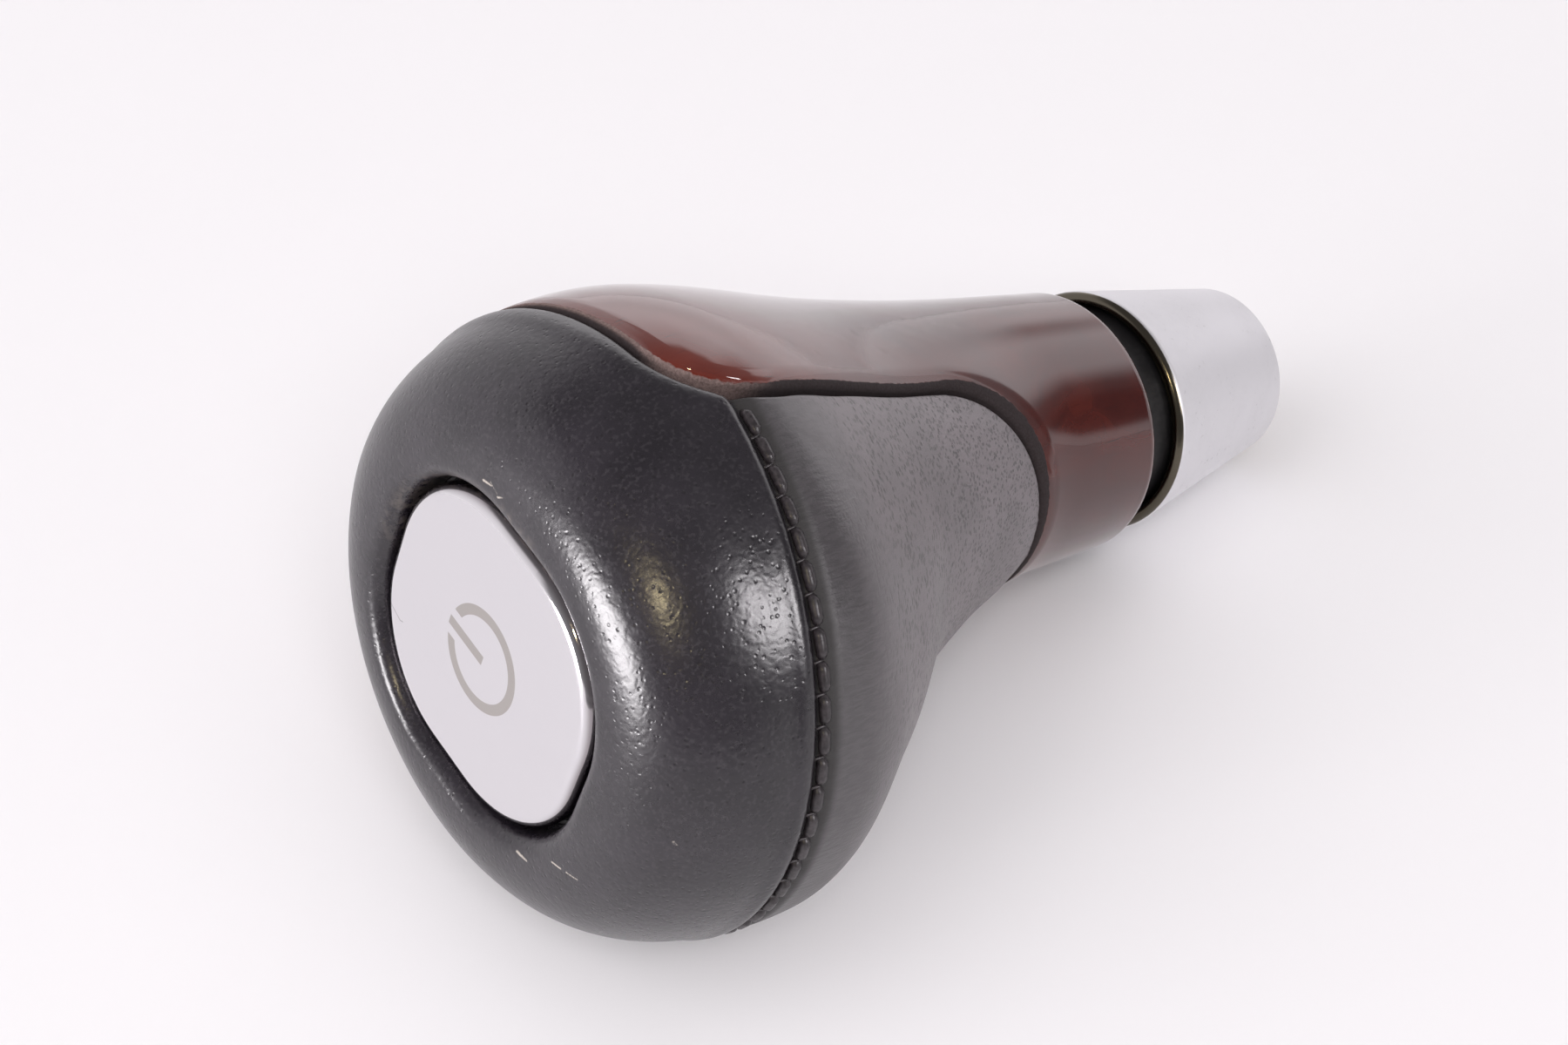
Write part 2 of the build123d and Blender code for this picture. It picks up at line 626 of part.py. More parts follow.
# Coned spring washer that holds the sleeve down on its clip
with BuildPart() as spring_washer:
    with BuildSketch(Plane.XZ):
        with BuildLine():
            Polyline(
                (tube_radius + MOVING_CLEARANCE, washer_foot),
                (tube_radius + MOVING_CLEARANCE, washer_foot + WASHER_THICKNESS),
                (neck_ring_radius - MOVING_CLEARANCE, washer_top),
                (neck_ring_radius - MOVING_CLEARANCE, washer_top - WASHER_THICKNESS),
                close=True,
            )
        make_face()
    revolve(axis=Axis.Z)

# Open spring clip in the tube's groove, under the sleeve's flange
with BuildPart() as retaining_ring:
    with BuildSketch(Plane.XY.offset(clip_foot)):
        add(clip_slice)
        Circle(clip_bore_radius, mode=Mode.SUBTRACT)
    extrude(amount=CLIP_THICKNESS)

pieces = {
    "knob_core": knob_core,
    "wood_shell": wood_shell,
    "leather_cap": leather_cap,
    "leather_skirt": leather_skirt,
    "button_cap": button_cap,
    "button_slider": button_slider,
    "button_bezel": button_bezel,
    "switch_carrier": switch_carrier,
    "carrier_screws": carrier_screws,
    "circuit_board": circuit_board,
    "switch_body": switch_body,
    "switch_plunger": switch_plunger,
    "return_dome": return_dome,
    "lead_socket": lead_socket,
    "switch_lead": switch_lead,
    "contact_block": contact_block,
    "contact_pins": contact_pins,
    "lever_bush": lever_bush,
    "neck_ring": neck_ring,
    "chrome_sleeve": chrome_sleeve,
    "locking_ring": locking_ring,
    "spring_washer": spring_washer,
    "retaining_ring": retaining_ring,
}
os.makedirs("parts", exist_ok=True)
for name, piece in pieces.items():
    piece.part.label = name
    export_step(piece.part, f"parts/{name}.step")
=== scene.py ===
# %% [markdown]
# # A gear shift knob in leather, lacquered wood and chrome
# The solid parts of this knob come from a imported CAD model, which is loaded first and never moved. This
# lesson dresses it: it sews the leather panels, lays the thread in the seam, finishes the wood, the chrome
# and the hidden parts, and lights it all on a pale table. Sizes are in millimetres, as on a drawing, and MM
# turns them into metres.

# %% Load the frame
import math

import bpy
import numpy as np
from mathutils import Matrix, Vector, kdtree, noise


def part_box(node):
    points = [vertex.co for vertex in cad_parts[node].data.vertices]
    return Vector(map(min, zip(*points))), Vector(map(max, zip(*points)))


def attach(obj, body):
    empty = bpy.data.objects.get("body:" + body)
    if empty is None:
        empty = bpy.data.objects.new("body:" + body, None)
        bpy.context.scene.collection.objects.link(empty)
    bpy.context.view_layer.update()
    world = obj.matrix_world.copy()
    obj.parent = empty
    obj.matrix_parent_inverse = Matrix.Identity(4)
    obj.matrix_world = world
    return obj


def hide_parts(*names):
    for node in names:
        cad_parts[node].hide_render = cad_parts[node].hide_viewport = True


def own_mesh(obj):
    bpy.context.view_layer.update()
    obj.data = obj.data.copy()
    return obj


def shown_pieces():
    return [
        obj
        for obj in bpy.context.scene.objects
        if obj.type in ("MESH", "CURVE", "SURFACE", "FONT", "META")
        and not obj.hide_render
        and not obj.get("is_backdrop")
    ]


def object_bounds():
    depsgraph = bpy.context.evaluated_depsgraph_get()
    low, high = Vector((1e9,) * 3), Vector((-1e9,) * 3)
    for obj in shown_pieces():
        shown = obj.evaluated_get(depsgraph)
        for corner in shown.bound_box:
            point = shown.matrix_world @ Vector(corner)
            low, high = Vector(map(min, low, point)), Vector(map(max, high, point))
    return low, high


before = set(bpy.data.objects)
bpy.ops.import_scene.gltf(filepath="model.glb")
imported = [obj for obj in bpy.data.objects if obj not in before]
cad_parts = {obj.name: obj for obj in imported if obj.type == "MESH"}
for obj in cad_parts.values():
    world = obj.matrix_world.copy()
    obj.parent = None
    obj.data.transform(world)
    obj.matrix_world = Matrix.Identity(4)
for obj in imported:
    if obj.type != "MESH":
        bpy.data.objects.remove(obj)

MM = 0.001
cad_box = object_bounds()
print("CAD box", [list(corner) for corner in cad_box])

# %% [markdown]
# ## The knob's outside
# The head and neck are one smooth body. It could be sculpted by eye, but the leather has to lie on the same
# body as the wood beside it, so the same few sections that shaped the solid parts are used again. Each
# section is an ellipse given by its height, half width, and reach to the front and to the rear. A smooth
# curve runs through them up to the brow, the widest place, and a superellipse closes the crown over to the
# flat round the button.

# %% Sections of the knob
FOOT = (26.4, 14.3, 14.3, 14.3)
WAIST = (45.0, 16.1, 14.6, 17.4)
THROAT = (62.0, 20.3, 20.4, 20.5)
SWELL = (76.0, 25.7, 30.2, 23.6)
BROW = (87.6, 29.3, 36.0, 24.7)
SECTIONS = np.array([FOOT, WAIST, THROAT, SWELL, BROW])
BROW_HEIGHT = BROW[0]
CROWN_HEIGHT = 18.4
CROWN_POWER = 2.2
TOP = BROW_HEIGHT + CROWN_HEIGHT
BUTTON_FORWARD = 5.2
LAND_HALF_WIDTH = 17.4
LAND_HALF_DEPTH = 17.9
LAND = np.array([LAND_HALF_WIDTH, LAND_HALF_DEPTH + BUTTON_FORWARD, LAND_HALF_DEPTH - BUTTON_FORWARD])
print("knob", TOP, "mm tall, head", 2 * BROW[1], "by", BROW[2] + BROW[3], "mm")

# %% Sizes and points of the outside
def neck_sizes(height):
    """Half width, front reach and rear reach of the neck at an array of heights."""
    heights, sizes = SECTIONS[:, 0], SECTIONS[:, 1:]
    order = np.arange(len(heights))
    before = np.maximum(order - 1, 0)
    after = np.minimum(order + 1, order[-1])
    slopes = (sizes[after] - sizes[before]) / (heights[after] - heights[before])[:, None]
    slopes[-1] = 0
    low = np.clip(np.searchsorted(heights, height, side="right") - 1, 0, order[-1] - 1)
    rise = (heights[low + 1] - heights[low])[..., None]
    t = (height - heights[low])[..., None] / rise
    blend = t * t * (3 - 2 * t)
    bend = rise * (t * (1 - t) ** 2 * slopes[low] + t * t * (t - 1) * slopes[low + 1])
    return sizes[low] + (sizes[low + 1] - sizes[low]) * blend + bend


def crown_reach(height):
    """How far out the crown is at a height: 1 at the brow, 0 at the flat round the button."""
    up = np.clip((height - BROW_HEIGHT) / CROWN_HEIGHT, 0, 1)
    return (1 - up ** CROWN_POWER) ** (1 / CROWN_POWER)


def crown_height(reach):
    """The height that belongs to a reach."""
    out = np.clip(reach, 0, 1)
    return BROW_HEIGHT + CROWN_HEIGHT * (1 - out ** CROWN_POWER) ** (1 / CROWN_POWER)


def ring_point(sizes, height, turn):
    """A point on the section with these sizes; turn is measured from +X towards the front."""
    width, front, rear = np.moveaxis(sizes, -1, 0)
    x = width * np.cos(turn)
    y = (front - rear) / 2 + (front + rear) / 2 * np.sin(turn)
    return np.stack(np.broadcast_arrays(x, y, height), axis=-1)


def crown_sizes(reach):
    """Half width, front reach and rear reach of the crown at an array of reaches."""
    return LAND + (np.array(BROW[1:]) - LAND) * reach[..., None]


def crown_point(reach, turn):
    """A point of the crown, given by its reach and turn."""
    return ring_point(crown_sizes(reach), crown_height(reach), turn)


def knob_sizes(height):
    """Sizes of the knob's outside at an array of heights, on the neck or on the lower crown."""
    crown = crown_sizes(crown_reach(height))
    return np.where((height > BROW_HEIGHT)[..., None], crown, neck_sizes(height))


def knob_point(height, turn):
    """A point of the knob's outside at a height."""
    return ring_point(knob_sizes(height), height, turn)


foot_sizes = knob_sizes(np.array([FOOT[0]]))[0]
print("foot of the wood", round(2 * float(foot_sizes[0]), 1), "mm across")

# %% [markdown]
# ## Where the panels end
# Seen from the side, the leather ends at a line down the neck, with a rounded tongue at its lower end, and
# behind the line the wood begins. The top panel meets the front panel at a sewn seam, which rises a little
# towards the front. Both borders are curves in the side view, so they are written as functions: the top
# panel's lower border as a height for each place from front to rear, and the front panel's side border as a
# place for each height.

# %% Borders of the leather panels
TONGUE_TIP = 44.3
TONGUE_SIDE = 4.0
TONGUE_ROUNDING = 12.5
SIDE_TOP = 94.05
SIDE_LEAN = 5.5 / 49.8
SHOULDER_ROUNDING = 9.0
NARROWING = 0.4
NARROW_HEIGHT = 62.0
NARROW_SPREAD = 7.0
SEAM_START = (7.9, 90.0)
SEAM_SLOPE = math.tan(math.radians(7.0))
CORNER_SOFTNESS = 0.9


def bell(value, place, width):
    """1 at a place, falling off smoothly on both sides of it over a width."""
    return np.exp(-(((value - place) / width) ** 2))


def side_line(height):
    """Place of the side border at a height: it leans forward, and nears the wood above the tongue."""
    nearer = NARROWING * bell(height, NARROW_HEIGHT, NARROW_SPREAD)
    return TONGUE_SIDE + SIDE_LEAN * (height - TONGUE_TIP) - nearer


SHOULDER_HEIGHT = SIDE_TOP - SHOULDER_ROUNDING
SHOULDER_PLACE = side_line(SHOULDER_HEIGHT) - SHOULDER_ROUNDING * math.hypot(1, SIDE_LEAN)


def seam_height(y):
    """Height of the seam at a place from front to rear."""
    return SEAM_START[1] + SEAM_SLOPE * (y - SEAM_START[0])


def cap_border(y):
    """Height of the top panel's lower border: level at the rear, round the shoulder, along the seam."""
    drop = np.clip(y - SHOULDER_PLACE, 0, SHOULDER_ROUNDING)
    wood_side = SHOULDER_HEIGHT + np.sqrt(SHOULDER_ROUNDING ** 2 - drop ** 2)
    gap = wood_side - seam_height(y)
    return seam_height(y) + (gap + np.sqrt(gap ** 2 + CORNER_SOFTNESS ** 2)) / 2


def skirt_side(height):
    """Place of the front panel's side border at a height, rounded at the tongue's tip and the shoulder."""
    centre = side_line(TONGUE_TIP + TONGUE_ROUNDING) + TONGUE_ROUNDING * math.hypot(1, SIDE_LEAN)
    above_tip = np.clip(TONGUE_TIP + TONGUE_ROUNDING - height, 0, TONGUE_ROUNDING)
    rounded = centre - np.sqrt(TONGUE_ROUNDING ** 2 - above_tip ** 2)
    over = np.clip(height - SHOULDER_HEIGHT, 0, SHOULDER_ROUNDING)
    shoulder = SHOULDER_PLACE + np.sqrt(SHOULDER_ROUNDING ** 2 - over ** 2)
    upper = np.minimum(side_line(height), shoulder)
    return np.where(height < TONGUE_TIP + TONGUE_ROUNDING, rounded, upper)


print("seam rises from", SEAM_START[1], "to", round(float(seam_height(BROW[2])), 1), "mm")

# %% [markdown]
# ## From points to a mesh
# Each panel is a grid of points over the body. A grid is easy to shape: its rows can be crowded where an
# edge rolls over, and its neighbours give the direction that is square to the surface. These helpers turn a
# grid into a mesh, find those directions, and roll an edge down by how near each point is to the border.

# %% Grids
TINY = 1e-9


def add_piece(name, points, faces, body):
    """Make a smooth mesh object from points in millimetres that rides on a body."""
    mesh = bpy.data.meshes.new(name)
    mesh.from_pydata((np.asarray(points) * MM).tolist(), [], faces)
    mesh.validate()
    mesh.shade_smooth()
    piece = bpy.data.objects.new(name, mesh)
    bpy.context.scene.collection.objects.link(piece)
    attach(piece, body)
    return piece


def grid_faces(rows, columns, closed):
    """Four-sided faces of a grid, joined round its columns where it is closed."""
    number = np.arange(rows * columns).reshape(rows, columns)
    after = np.roll(number, -1, axis=1)
    if not closed:
        number, after = number[:, :-1], after[:, :-1]
    corners = (number[:-1], after[:-1], after[1:], number[1:])
    return np.stack(corners, axis=-1).reshape(-1, 4).tolist()


def unit(vectors):
    """The same directions, each with a length of 1."""
    return vectors / np.maximum(np.linalg.norm(vectors, axis=-1, keepdims=True), TINY)


def grid_normals(points, closed):
    """Direction square to a grid at each of its points."""
    if closed:
        across = np.roll(points, -1, axis=1) - np.roll(points, 1, axis=1)
    else:
        across = np.gradient(points, axis=1)
    return unit(np.cross(across, np.gradient(points, axis=0)))


print("grid helpers ready")

# %% Rolled edges and soft waves
BORDER_SHARES = (0, 0.25, 0.5, 0.75)
WAVE_STEPS = (17.3, 5.1, 9.7)


def distance_to(border, points):
    """Distance of each point from a border, given as a closed run of points."""
    step = np.roll(border, -1, axis=0) - border
    fine = np.concatenate([border + step * share for share in BORDER_SHARES])
    tree = kdtree.KDTree(len(fine))
    for number, place in enumerate(fine):
        tree.insert(place, number)
    tree.balance()
    flat = points.reshape(-1, 3)
    return np.array([tree.find(place)[2] for place in flat]).reshape(points.shape[:-1])


def rolled(distance, radius):
    """How deep a rolled edge lies at a distance from its border."""
    left = np.clip(radius - distance, 0, radius)
    return radius - np.sqrt(radius ** 2 - left ** 2)


def waves(points, size, seed):
    """Smooth noise between about -1 and 1, with waves of about the given size in millimetres."""
    shift = Vector([seed * step for step in WAVE_STEPS])
    flat = points.reshape(-1, 3) / size
    return np.array([noise.noise(Vector(place) + shift) for place in flat]).reshape(points.shape[:-1])


def smooth_step(value, low, high):
    """0 below low, 1 above high and a smooth rise between them."""
    t = np.clip((value - low) / (high - low), 0, 1)
    return t * t * (3 - 2 * t)


print("edge helpers ready")

# %% [markdown]
# ## Top leather panel
# This panel covers the crown and is tucked down round the button. It could be made by cutting a sphere, but
# then its edges would be sharp. Here each column of the grid starts at the bottom of the tuck, goes up the
# wall, over a soft lip, across the crown and down to the border, where the last rows roll into the groove.
# Beside the seam the folded edge stands up a little, as turned leather does.

# %% Opening round the button
BUTTON_HALF_WIDTH = 14.45
BUTTON_HALF_DEPTH = 14.9
BUTTON_CORNER = 12.3
LIP_GAP = 0.6
LIP_ROUNDING = 1.7
TUCK_FOOT = 101.8
HALVINGS = 40


def halve(test, low, high):
    """The value between low and high at which test turns from true to false, for whole arrays."""
    for _ in range(HALVINGS):
        middle = (low + high) / 2
        inside = test(middle)
        low, high = np.where(inside, middle, low), np.where(inside, high, middle)
    return (low + high) / 2


def button_distance(x, y):
    """Distance of a place from the button's rounded outline, negative inside it."""
    over_x = np.abs(x) - BUTTON_HALF_WIDTH + BUTTON_CORNER
    over_y = np.abs(y - BUTTON_FORWARD) - BUTTON_HALF_DEPTH + BUTTON_CORNER
    outside = np.hypot(np.maximum(over_x, 0), np.maximum(over_y, 0))
    return outside + np.minimum(np.maximum(over_x, over_y), 0) - BUTTON_CORNER


def opening_point(direction, room, height):
    """A point round the button at a distance of room from its outline."""
    away = [np.cos(direction), np.sin(direction)]
    radius = halve(
        lambda r: button_distance(r * away[0], BUTTON_FORWARD + r * away[1]) < room,
        np.full_like(direction, BUTTON_CORNER / 2),
        np.full_like(direction, 2 * LAND_HALF_DEPTH),
    )
    level = np.full_like(direction, height)
    return np.stack([radius * away[0], BUTTON_FORWARD + radius * away[1], level], axis=-1)


print("lip of", LIP_ROUNDING, "mm round the button")

# %% Columns of the top panel
CAP_COLUMNS = 640
CAP_ROWS = 50
PATH_SPOTS = 240
LIP_SEARCH = (-0.4, 0.4)
BORDER_SEARCH = (0.3, 1.0)
EDGE_SPOTS = np.array([0, 0.08, 0.18, 0.3, 0.45, 0.62, 0.82, 1.05, 1.35, 1.75, 2.3])


def lip_room(reach, turn):
    """Distance from the button's outline at a reach of the crown."""
    place = crown_point(np.array(reach), turn)
    return button_distance(place[0], place[1])


def above_border(reach, turn):
    """Whether the crown at this reach still belongs to the top panel."""
    place = crown_point(np.array(reach), turn)
    return place[2] > cap_border(place[1])


def cap_path(turn):
    """Points of one column across the crown, crowded towards the border."""
    at_lip = halve(lambda reach: lip_room(reach, turn) < LIP_GAP + LIP_ROUNDING, *LIP_SEARCH)
    at_border = halve(lambda reach: above_border(reach, turn), *BORDER_SEARCH)
    bend = np.linspace(0, 1, PATH_SPOTS)
    reach = at_lip + (at_border - at_lip) * np.sin(bend * math.pi / 2)
    path = crown_point(reach, np.full_like(reach, turn))
    steps = np.linalg.norm(np.diff(path, axis=0), axis=1)
    length = np.concatenate([[0], np.cumsum(steps)])
    inner = np.linspace(0, length[-1] - EDGE_SPOTS[-1], CAP_ROWS, endpoint=False)
    spots = np.concatenate([inner, length[-1] - EDGE_SPOTS[::-1]])
    return np.stack([np.interp(spots, length, path[:, axis]) for axis in range(3)], axis=-1)


cap_turns = np.linspace(0, 2 * math.pi, CAP_COLUMNS, endpoint=False)
crown = np.stack([cap_path(turn) for turn in cap_turns], axis=1)
print("top panel", len(crown), "rows of", CAP_COLUMNS, "points across the crown")

# %% Shape and edges of the top panel
EDGE_ROUNDING = 0.8
EDGE_DEPTHS = (0.35, 0.8)
LIP_STEPS = 9
WALL_SPOTS = (0.0, 1.2, 2.0)
SEAM_FADE = (7.0, 10.0)
FOLD_HEIGHT = 0.2
FOLD_PLACE = 1.15
FOLD_WIDTH = 0.75
PLUMP_HEIGHT = 0.3
PLUMP_PLACE = 1.6
PLUMP_WIDTH = 1.4
SOFTNESS = 0.07
SOFT_FADE = (1.0, 5.0)
LIP_FADE = (0.2, 3.0)
CAP_WAVE = 9.0


def lip_rows(crown_start):
    """Rows up the tucked wall and over the lip, in line with the crown's first row."""
    direction = np.arctan2(crown_start[:, 1] - BUTTON_FORWARD, crown_start[:, 0])
    rows = [opening_point(direction, LIP_GAP, TUCK_FOOT + spot) for spot in WALL_SPOTS]
    for step in range(LIP_STEPS):
        angle = step / LIP_STEPS * math.pi / 2
        room = LIP_GAP + LIP_ROUNDING * (1 - math.cos(angle))
        rows.append(opening_point(direction, room, TOP - LIP_ROUNDING * (1 - math.sin(angle))))
    return np.array(rows)


crown_normals = -grid_normals(crown, closed=True)
from_border = distance_to(crown[-1], crown)
at_seam = smooth_step(crown[..., 1], *SEAM_FADE)
fold = FOLD_HEIGHT * at_seam * bell(from_border, FOLD_PLACE, FOLD_WIDTH)
plump = PLUMP_HEIGHT * (1 - at_seam) * bell(from_border, PLUMP_PLACE, PLUMP_WIDTH)
soft = SOFTNESS * waves(crown, CAP_WAVE, seed=1) * smooth_step(from_border, *SOFT_FADE)
soft *= smooth_step(TOP - crown[..., 2], *LIP_FADE)
raised = fold + plump + soft - rolled(from_border, EDGE_ROUNDING)
crown_shaped = crown + crown_normals * raised[..., None]
tucked_edge = [crown_shaped[-1] - crown_normals[-1] * depth for depth in EDGE_DEPTHS]
cap_grid = np.concatenate([lip_rows(crown[0]), crown_shaped, tucked_edge])
cap_faces = [face[::-1] for face in grid_faces(len(cap_grid), CAP_COLUMNS, True)]
leather_cap = add_piece("top_leather_panel", cap_grid.reshape(-1, 3), cap_faces, "knob")
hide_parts("leather_cap")
print("top panel", len(leather_cap.data.polygons), "faces")

# %% [markdown]
# ## Front leather panel
# The front panel is drawn tight over the swell of the head and ends in a plump tongue on the neck. It could
# be cut from the same body as the wood, but its edges have to roll into the groove. So it is a grid too:
# its rows run level and its columns run from one side border to the other. Rows near the tip follow a
# square law, because the rounded tip widens fast there. Stretched leather puckers beside a seam, so shallow
# creases run square to it and fade out.

# %% Rows of the front panel
SKIRT_COLUMNS = 260
SKIRT_ROWS = 92
TIP_ROWS = 26
TIP_REACH = 9.0
TIP_START = 0.012
CROWDING = 0.75
ROUNDS = 12


def skirt_row(share, across):
    """Heights and turns of one row, at a share of the way from the tongue's tip to the seam."""
    front = float(np.interp(TONGUE_TIP, SECTIONS[:, 0], SECTIONS[:, 2]))
    height = np.full_like(across, TONGUE_TIP + share * (seam_height(front) - TONGUE_TIP))
    for _ in range(ROUNDS):
        sizes = knob_sizes(height)
        centre = (sizes[:, 1] - sizes[:, 2]) / 2
        depth = (sizes[:, 1] + sizes[:, 2]) / 2
        sine = np.clip((skirt_side(height) - centre) / depth, -1, 1)
        turn = math.pi / 2 + across * (math.pi / 2 - np.arcsin(sine))
        seam = seam_height(centre + depth * np.sin(turn))
        height = TONGUE_TIP + TIP_START + share * (seam - TONGUE_TIP - TIP_START)
    return height, turn


even = np.linspace(-1, 1, SKIRT_COLUMNS)
crowded = even * (1 - CROWDING) + CROWDING * np.sin(even * math.pi / 2)
whole = seam_height(BROW[2]) - TONGUE_TIP
tip_shares = np.linspace(0, 1, TIP_ROWS, endpoint=False) ** 2 * TIP_REACH / whole
main_shares = np.linspace(TIP_REACH, whole - EDGE_SPOTS[-1], SKIRT_ROWS, endpoint=False) / whole
shares = np.concatenate([tip_shares, main_shares, 1 - EDGE_SPOTS[::-1] / whole])
skirt_rows = [skirt_row(share, crowded) for share in shares]
skirt_heights = np.array([row[0] for row in skirt_rows])
skirt_turns = np.array([row[1] for row in skirt_rows])
skirt = knob_point(skirt_heights, skirt_turns)
print("front panel", len(skirt), "rows of", SKIRT_COLUMNS, "points")

# %% Shape and edges of the front panel
SKIRT_ROUNDING = 0.6
CREASE_DEPTH = 0.06
CREASE_REACH = 5.0
CREASE_SIZE = 1.1
CREASE_STRETCH = 5.0
CREASE_FADE = (0.2, 1.6)
SKIRT_WAVE = 8.0
SEAM_SINK = 0.6
SEAM_SINK_WIDTH = 1.1
TONGUE_PLUMP = 0.45
TONGUE_PLUMP_REACH = 2.2
TONGUE_PLUMP_HEIGHTS = (54.0, 68.0)

skirt_normals = grid_normals(skirt, closed=False)
number = np.arange(skirt[..., 0].size).reshape(skirt.shape[:2])
rim = np.concatenate([number[:, 0], number[-1, 1:], number[-2::-1, -1], number[0, -2:0:-1]])
from_rim = distance_to(skirt.reshape(-1, 3)[rim], skirt)
from_seam = (seam_height(skirt[..., 1]) - skirt[..., 2]) / math.hypot(1, SEAM_SLOPE)
round_neck = (skirt_turns - math.pi / 2) * (SWELL[1] + SWELL[2]) / 2
crease_map = np.stack([round_neck, skirt_heights / CREASE_STRETCH, np.zeros_like(round_neck)], axis=-1)
creases = np.abs(waves(crease_map, CREASE_SIZE, seed=3)) * np.exp(-from_seam / CREASE_REACH)
on_tongue = 1 - smooth_step(skirt_heights, *TONGUE_PLUMP_HEIGHTS)
skirt_raised = CREASE_DEPTH * creases * smooth_step(from_rim, *CREASE_FADE)
skirt_raised += SOFTNESS * waves(skirt, SKIRT_WAVE, seed=4) * smooth_step(from_rim, *SOFT_FADE)
skirt_raised -= SEAM_SINK * bell(from_seam, 0, SEAM_SINK_WIDTH)
skirt_raised += TONGUE_PLUMP * on_tongue * (1 - bell(from_rim, 0, TONGUE_PLUMP_REACH))
skirt_raised -= rolled(from_rim, SKIRT_ROUNDING)
skirt_shaped = (skirt + skirt_normals * skirt_raised[..., None]).reshape(-1, 3)
rim_normals = skirt_normals.reshape(-1, 3)[rim]
rim_foot = [skirt_shaped[rim] - rim_normals * depth for depth in EDGE_DEPTHS]
skirt_points = np.concatenate([skirt_shaped, *rim_foot])
skirt_faces = grid_faces(*skirt.shape[:2], False)
foot_numbers = np.arange(len(skirt_shaped), len(skirt_points)).reshape(len(EDGE_DEPTHS), -1)
layers = [rim, *foot_numbers]
for upper, lower in zip(layers, layers[1:]):
    strip = np.stack([np.roll(upper, -1), np.roll(lower, -1), lower, upper], axis=-1)
    skirt_faces += strip.tolist()
leather_skirt = add_piece("front_leather_panel", skirt_points, skirt_faces, "knob")
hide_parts("leather_skirt")
print("front panel", len(leather_skirt.data.polygons), "faces")

# %% [markdown]
# ## Seam thread
# A dark waxed thread lies in the valley below the top panel's fold, one plump stitch after another. Where
# one ends, a thinner loop crosses the gap and goes in under the fold. A texture could hint at it, but the
# stitches catch light one by one, so each is a small bent tube, set along the seam at an even pitch, and
# each crossing is a thin one.

# %% The seam's line
SEAM_SPOTS = 1200
BELOW_SEAM = 0.05


def seam_line(count):
    """Points along the seam from one side to the other, with the outward direction at each."""
    side_turn = math.asin((SEAM_START[0] - (BROW[2] - BROW[3]) / 2) / ((BROW[2] + BROW[3]) / 2))
    turn = np.linspace(math.pi - side_turn, side_turn, count)
    height = np.full(count, SEAM_START[1])
    for _ in range(ROUNDS):
        height = seam_height(knob_point(height, turn)[:, 1])
    places = knob_point(height, turn)
    upward = places - knob_point(height - BELOW_SEAM, turn)
    return places, unit(np.cross(upward, np.gradient(places, axis=0)))


seam_places, seam_outward = seam_line(SEAM_SPOTS)
seam_ahead = unit(np.gradient(seam_places, axis=0))
seam_steps = np.linalg.norm(np.diff(seam_places, axis=0), axis=1)
seam_length = np.concatenate([[0], np.cumsum(seam_steps)])
print("seam", round(float(seam_length[-1]), 1), "mm long")

# %% Thread beside the seam
SIDE_HINT = (0.1, 0.2, 0.97)
thread_points, thread_faces = [], []


def beside_seam(at, below, deep):
    """Points at places along the seam, at distances below it and under the surface."""
    runs = []
    for run in (seam_places, seam_outward, seam_ahead):
        runs.append(np.stack([np.interp(at, seam_length, run[:, axis]) for axis in range(3)], axis=-1))
    place, outward, ahead = runs
    return place - outward * deep[:, None] - np.cross(ahead, outward) * below[:, None]


def tube(centre, radii, sides):
    """Points and faces of a closed tube along a run of centres."""
    ahead = unit(np.gradient(centre, axis=0))
    aside = unit(np.cross(ahead, ahead[len(ahead) // 2] + SIDE_HINT))
    above = np.cross(aside, ahead)
    angle = np.linspace(0, 2 * math.pi, sides, endpoint=False)[:, None]
    ring = aside[:, None] * np.cos(angle) + above[:, None] * np.sin(angle)
    points = centre[:, None] + ring * radii[:, None, None]
    ends = [list(range(sides))[::-1], [(len(centre) - 1) * sides + spot for spot in range(sides)]]
    return points.reshape(-1, 3), grid_faces(len(centre), sides, True) + ends


def lay_thread(centre, radii, sides):
    """Add one tube to the thread."""
    points, faces = tube(centre, radii, sides)
    start = sum(len(part) for part in thread_points)
    thread_points.append(points)
    thread_faces.extend([start + corner for corner in face] for face in faces)


print("thread helpers ready")

# %% Stitches along the seam
STITCH_PITCH = 2.8
STITCH_LENGTH = 2.78
STITCH_SLANT = 0.07
STITCH_SPOTS = 13
FREE_ENDS = 1.5
THREAD_RADIUS = 0.52
THREAD_DEPTH = 0.35
THREAD_BELOW = 0.7
THREAD_SIDES = 12
HOLE_DEPTH = 0.42
HOLE_REACH = (0.5, 1.0)
HOLE_THINNING = 0.38
LOOP_RADIUS = 0.15
LOOP_DEPTH = 0.3
LOOP_REACH = 1.15
LOOP_SPOTS = 5


def lay_stitch(middle_at):
    """Add one stitch with its middle at a place along the seam, and the loop after it."""
    share = np.linspace(-1, 1, STITCH_SPOTS)
    in_hole = smooth_step(np.abs(share), *HOLE_REACH)
    at = middle_at + share * STITCH_LENGTH / 2
    centre = beside_seam(at, THREAD_BELOW + share * STITCH_SLANT, THREAD_DEPTH + HOLE_DEPTH * in_hole)
    lay_thread(centre, THREAD_RADIUS * (1 - HOLE_THINNING * in_hole), THREAD_SIDES)
    across_gap = np.linspace(0, 1, LOOP_SPOTS)
    at = middle_at + STITCH_PITCH / 2 + across_gap * LOOP_RADIUS
    below = THREAD_BELOW * (1 - LOOP_REACH * across_gap)
    centre = beside_seam(at, below, LOOP_DEPTH + LOOP_RADIUS * across_gap)
    lay_thread(centre, np.full(LOOP_SPOTS, LOOP_RADIUS), THREAD_SIDES // 2)


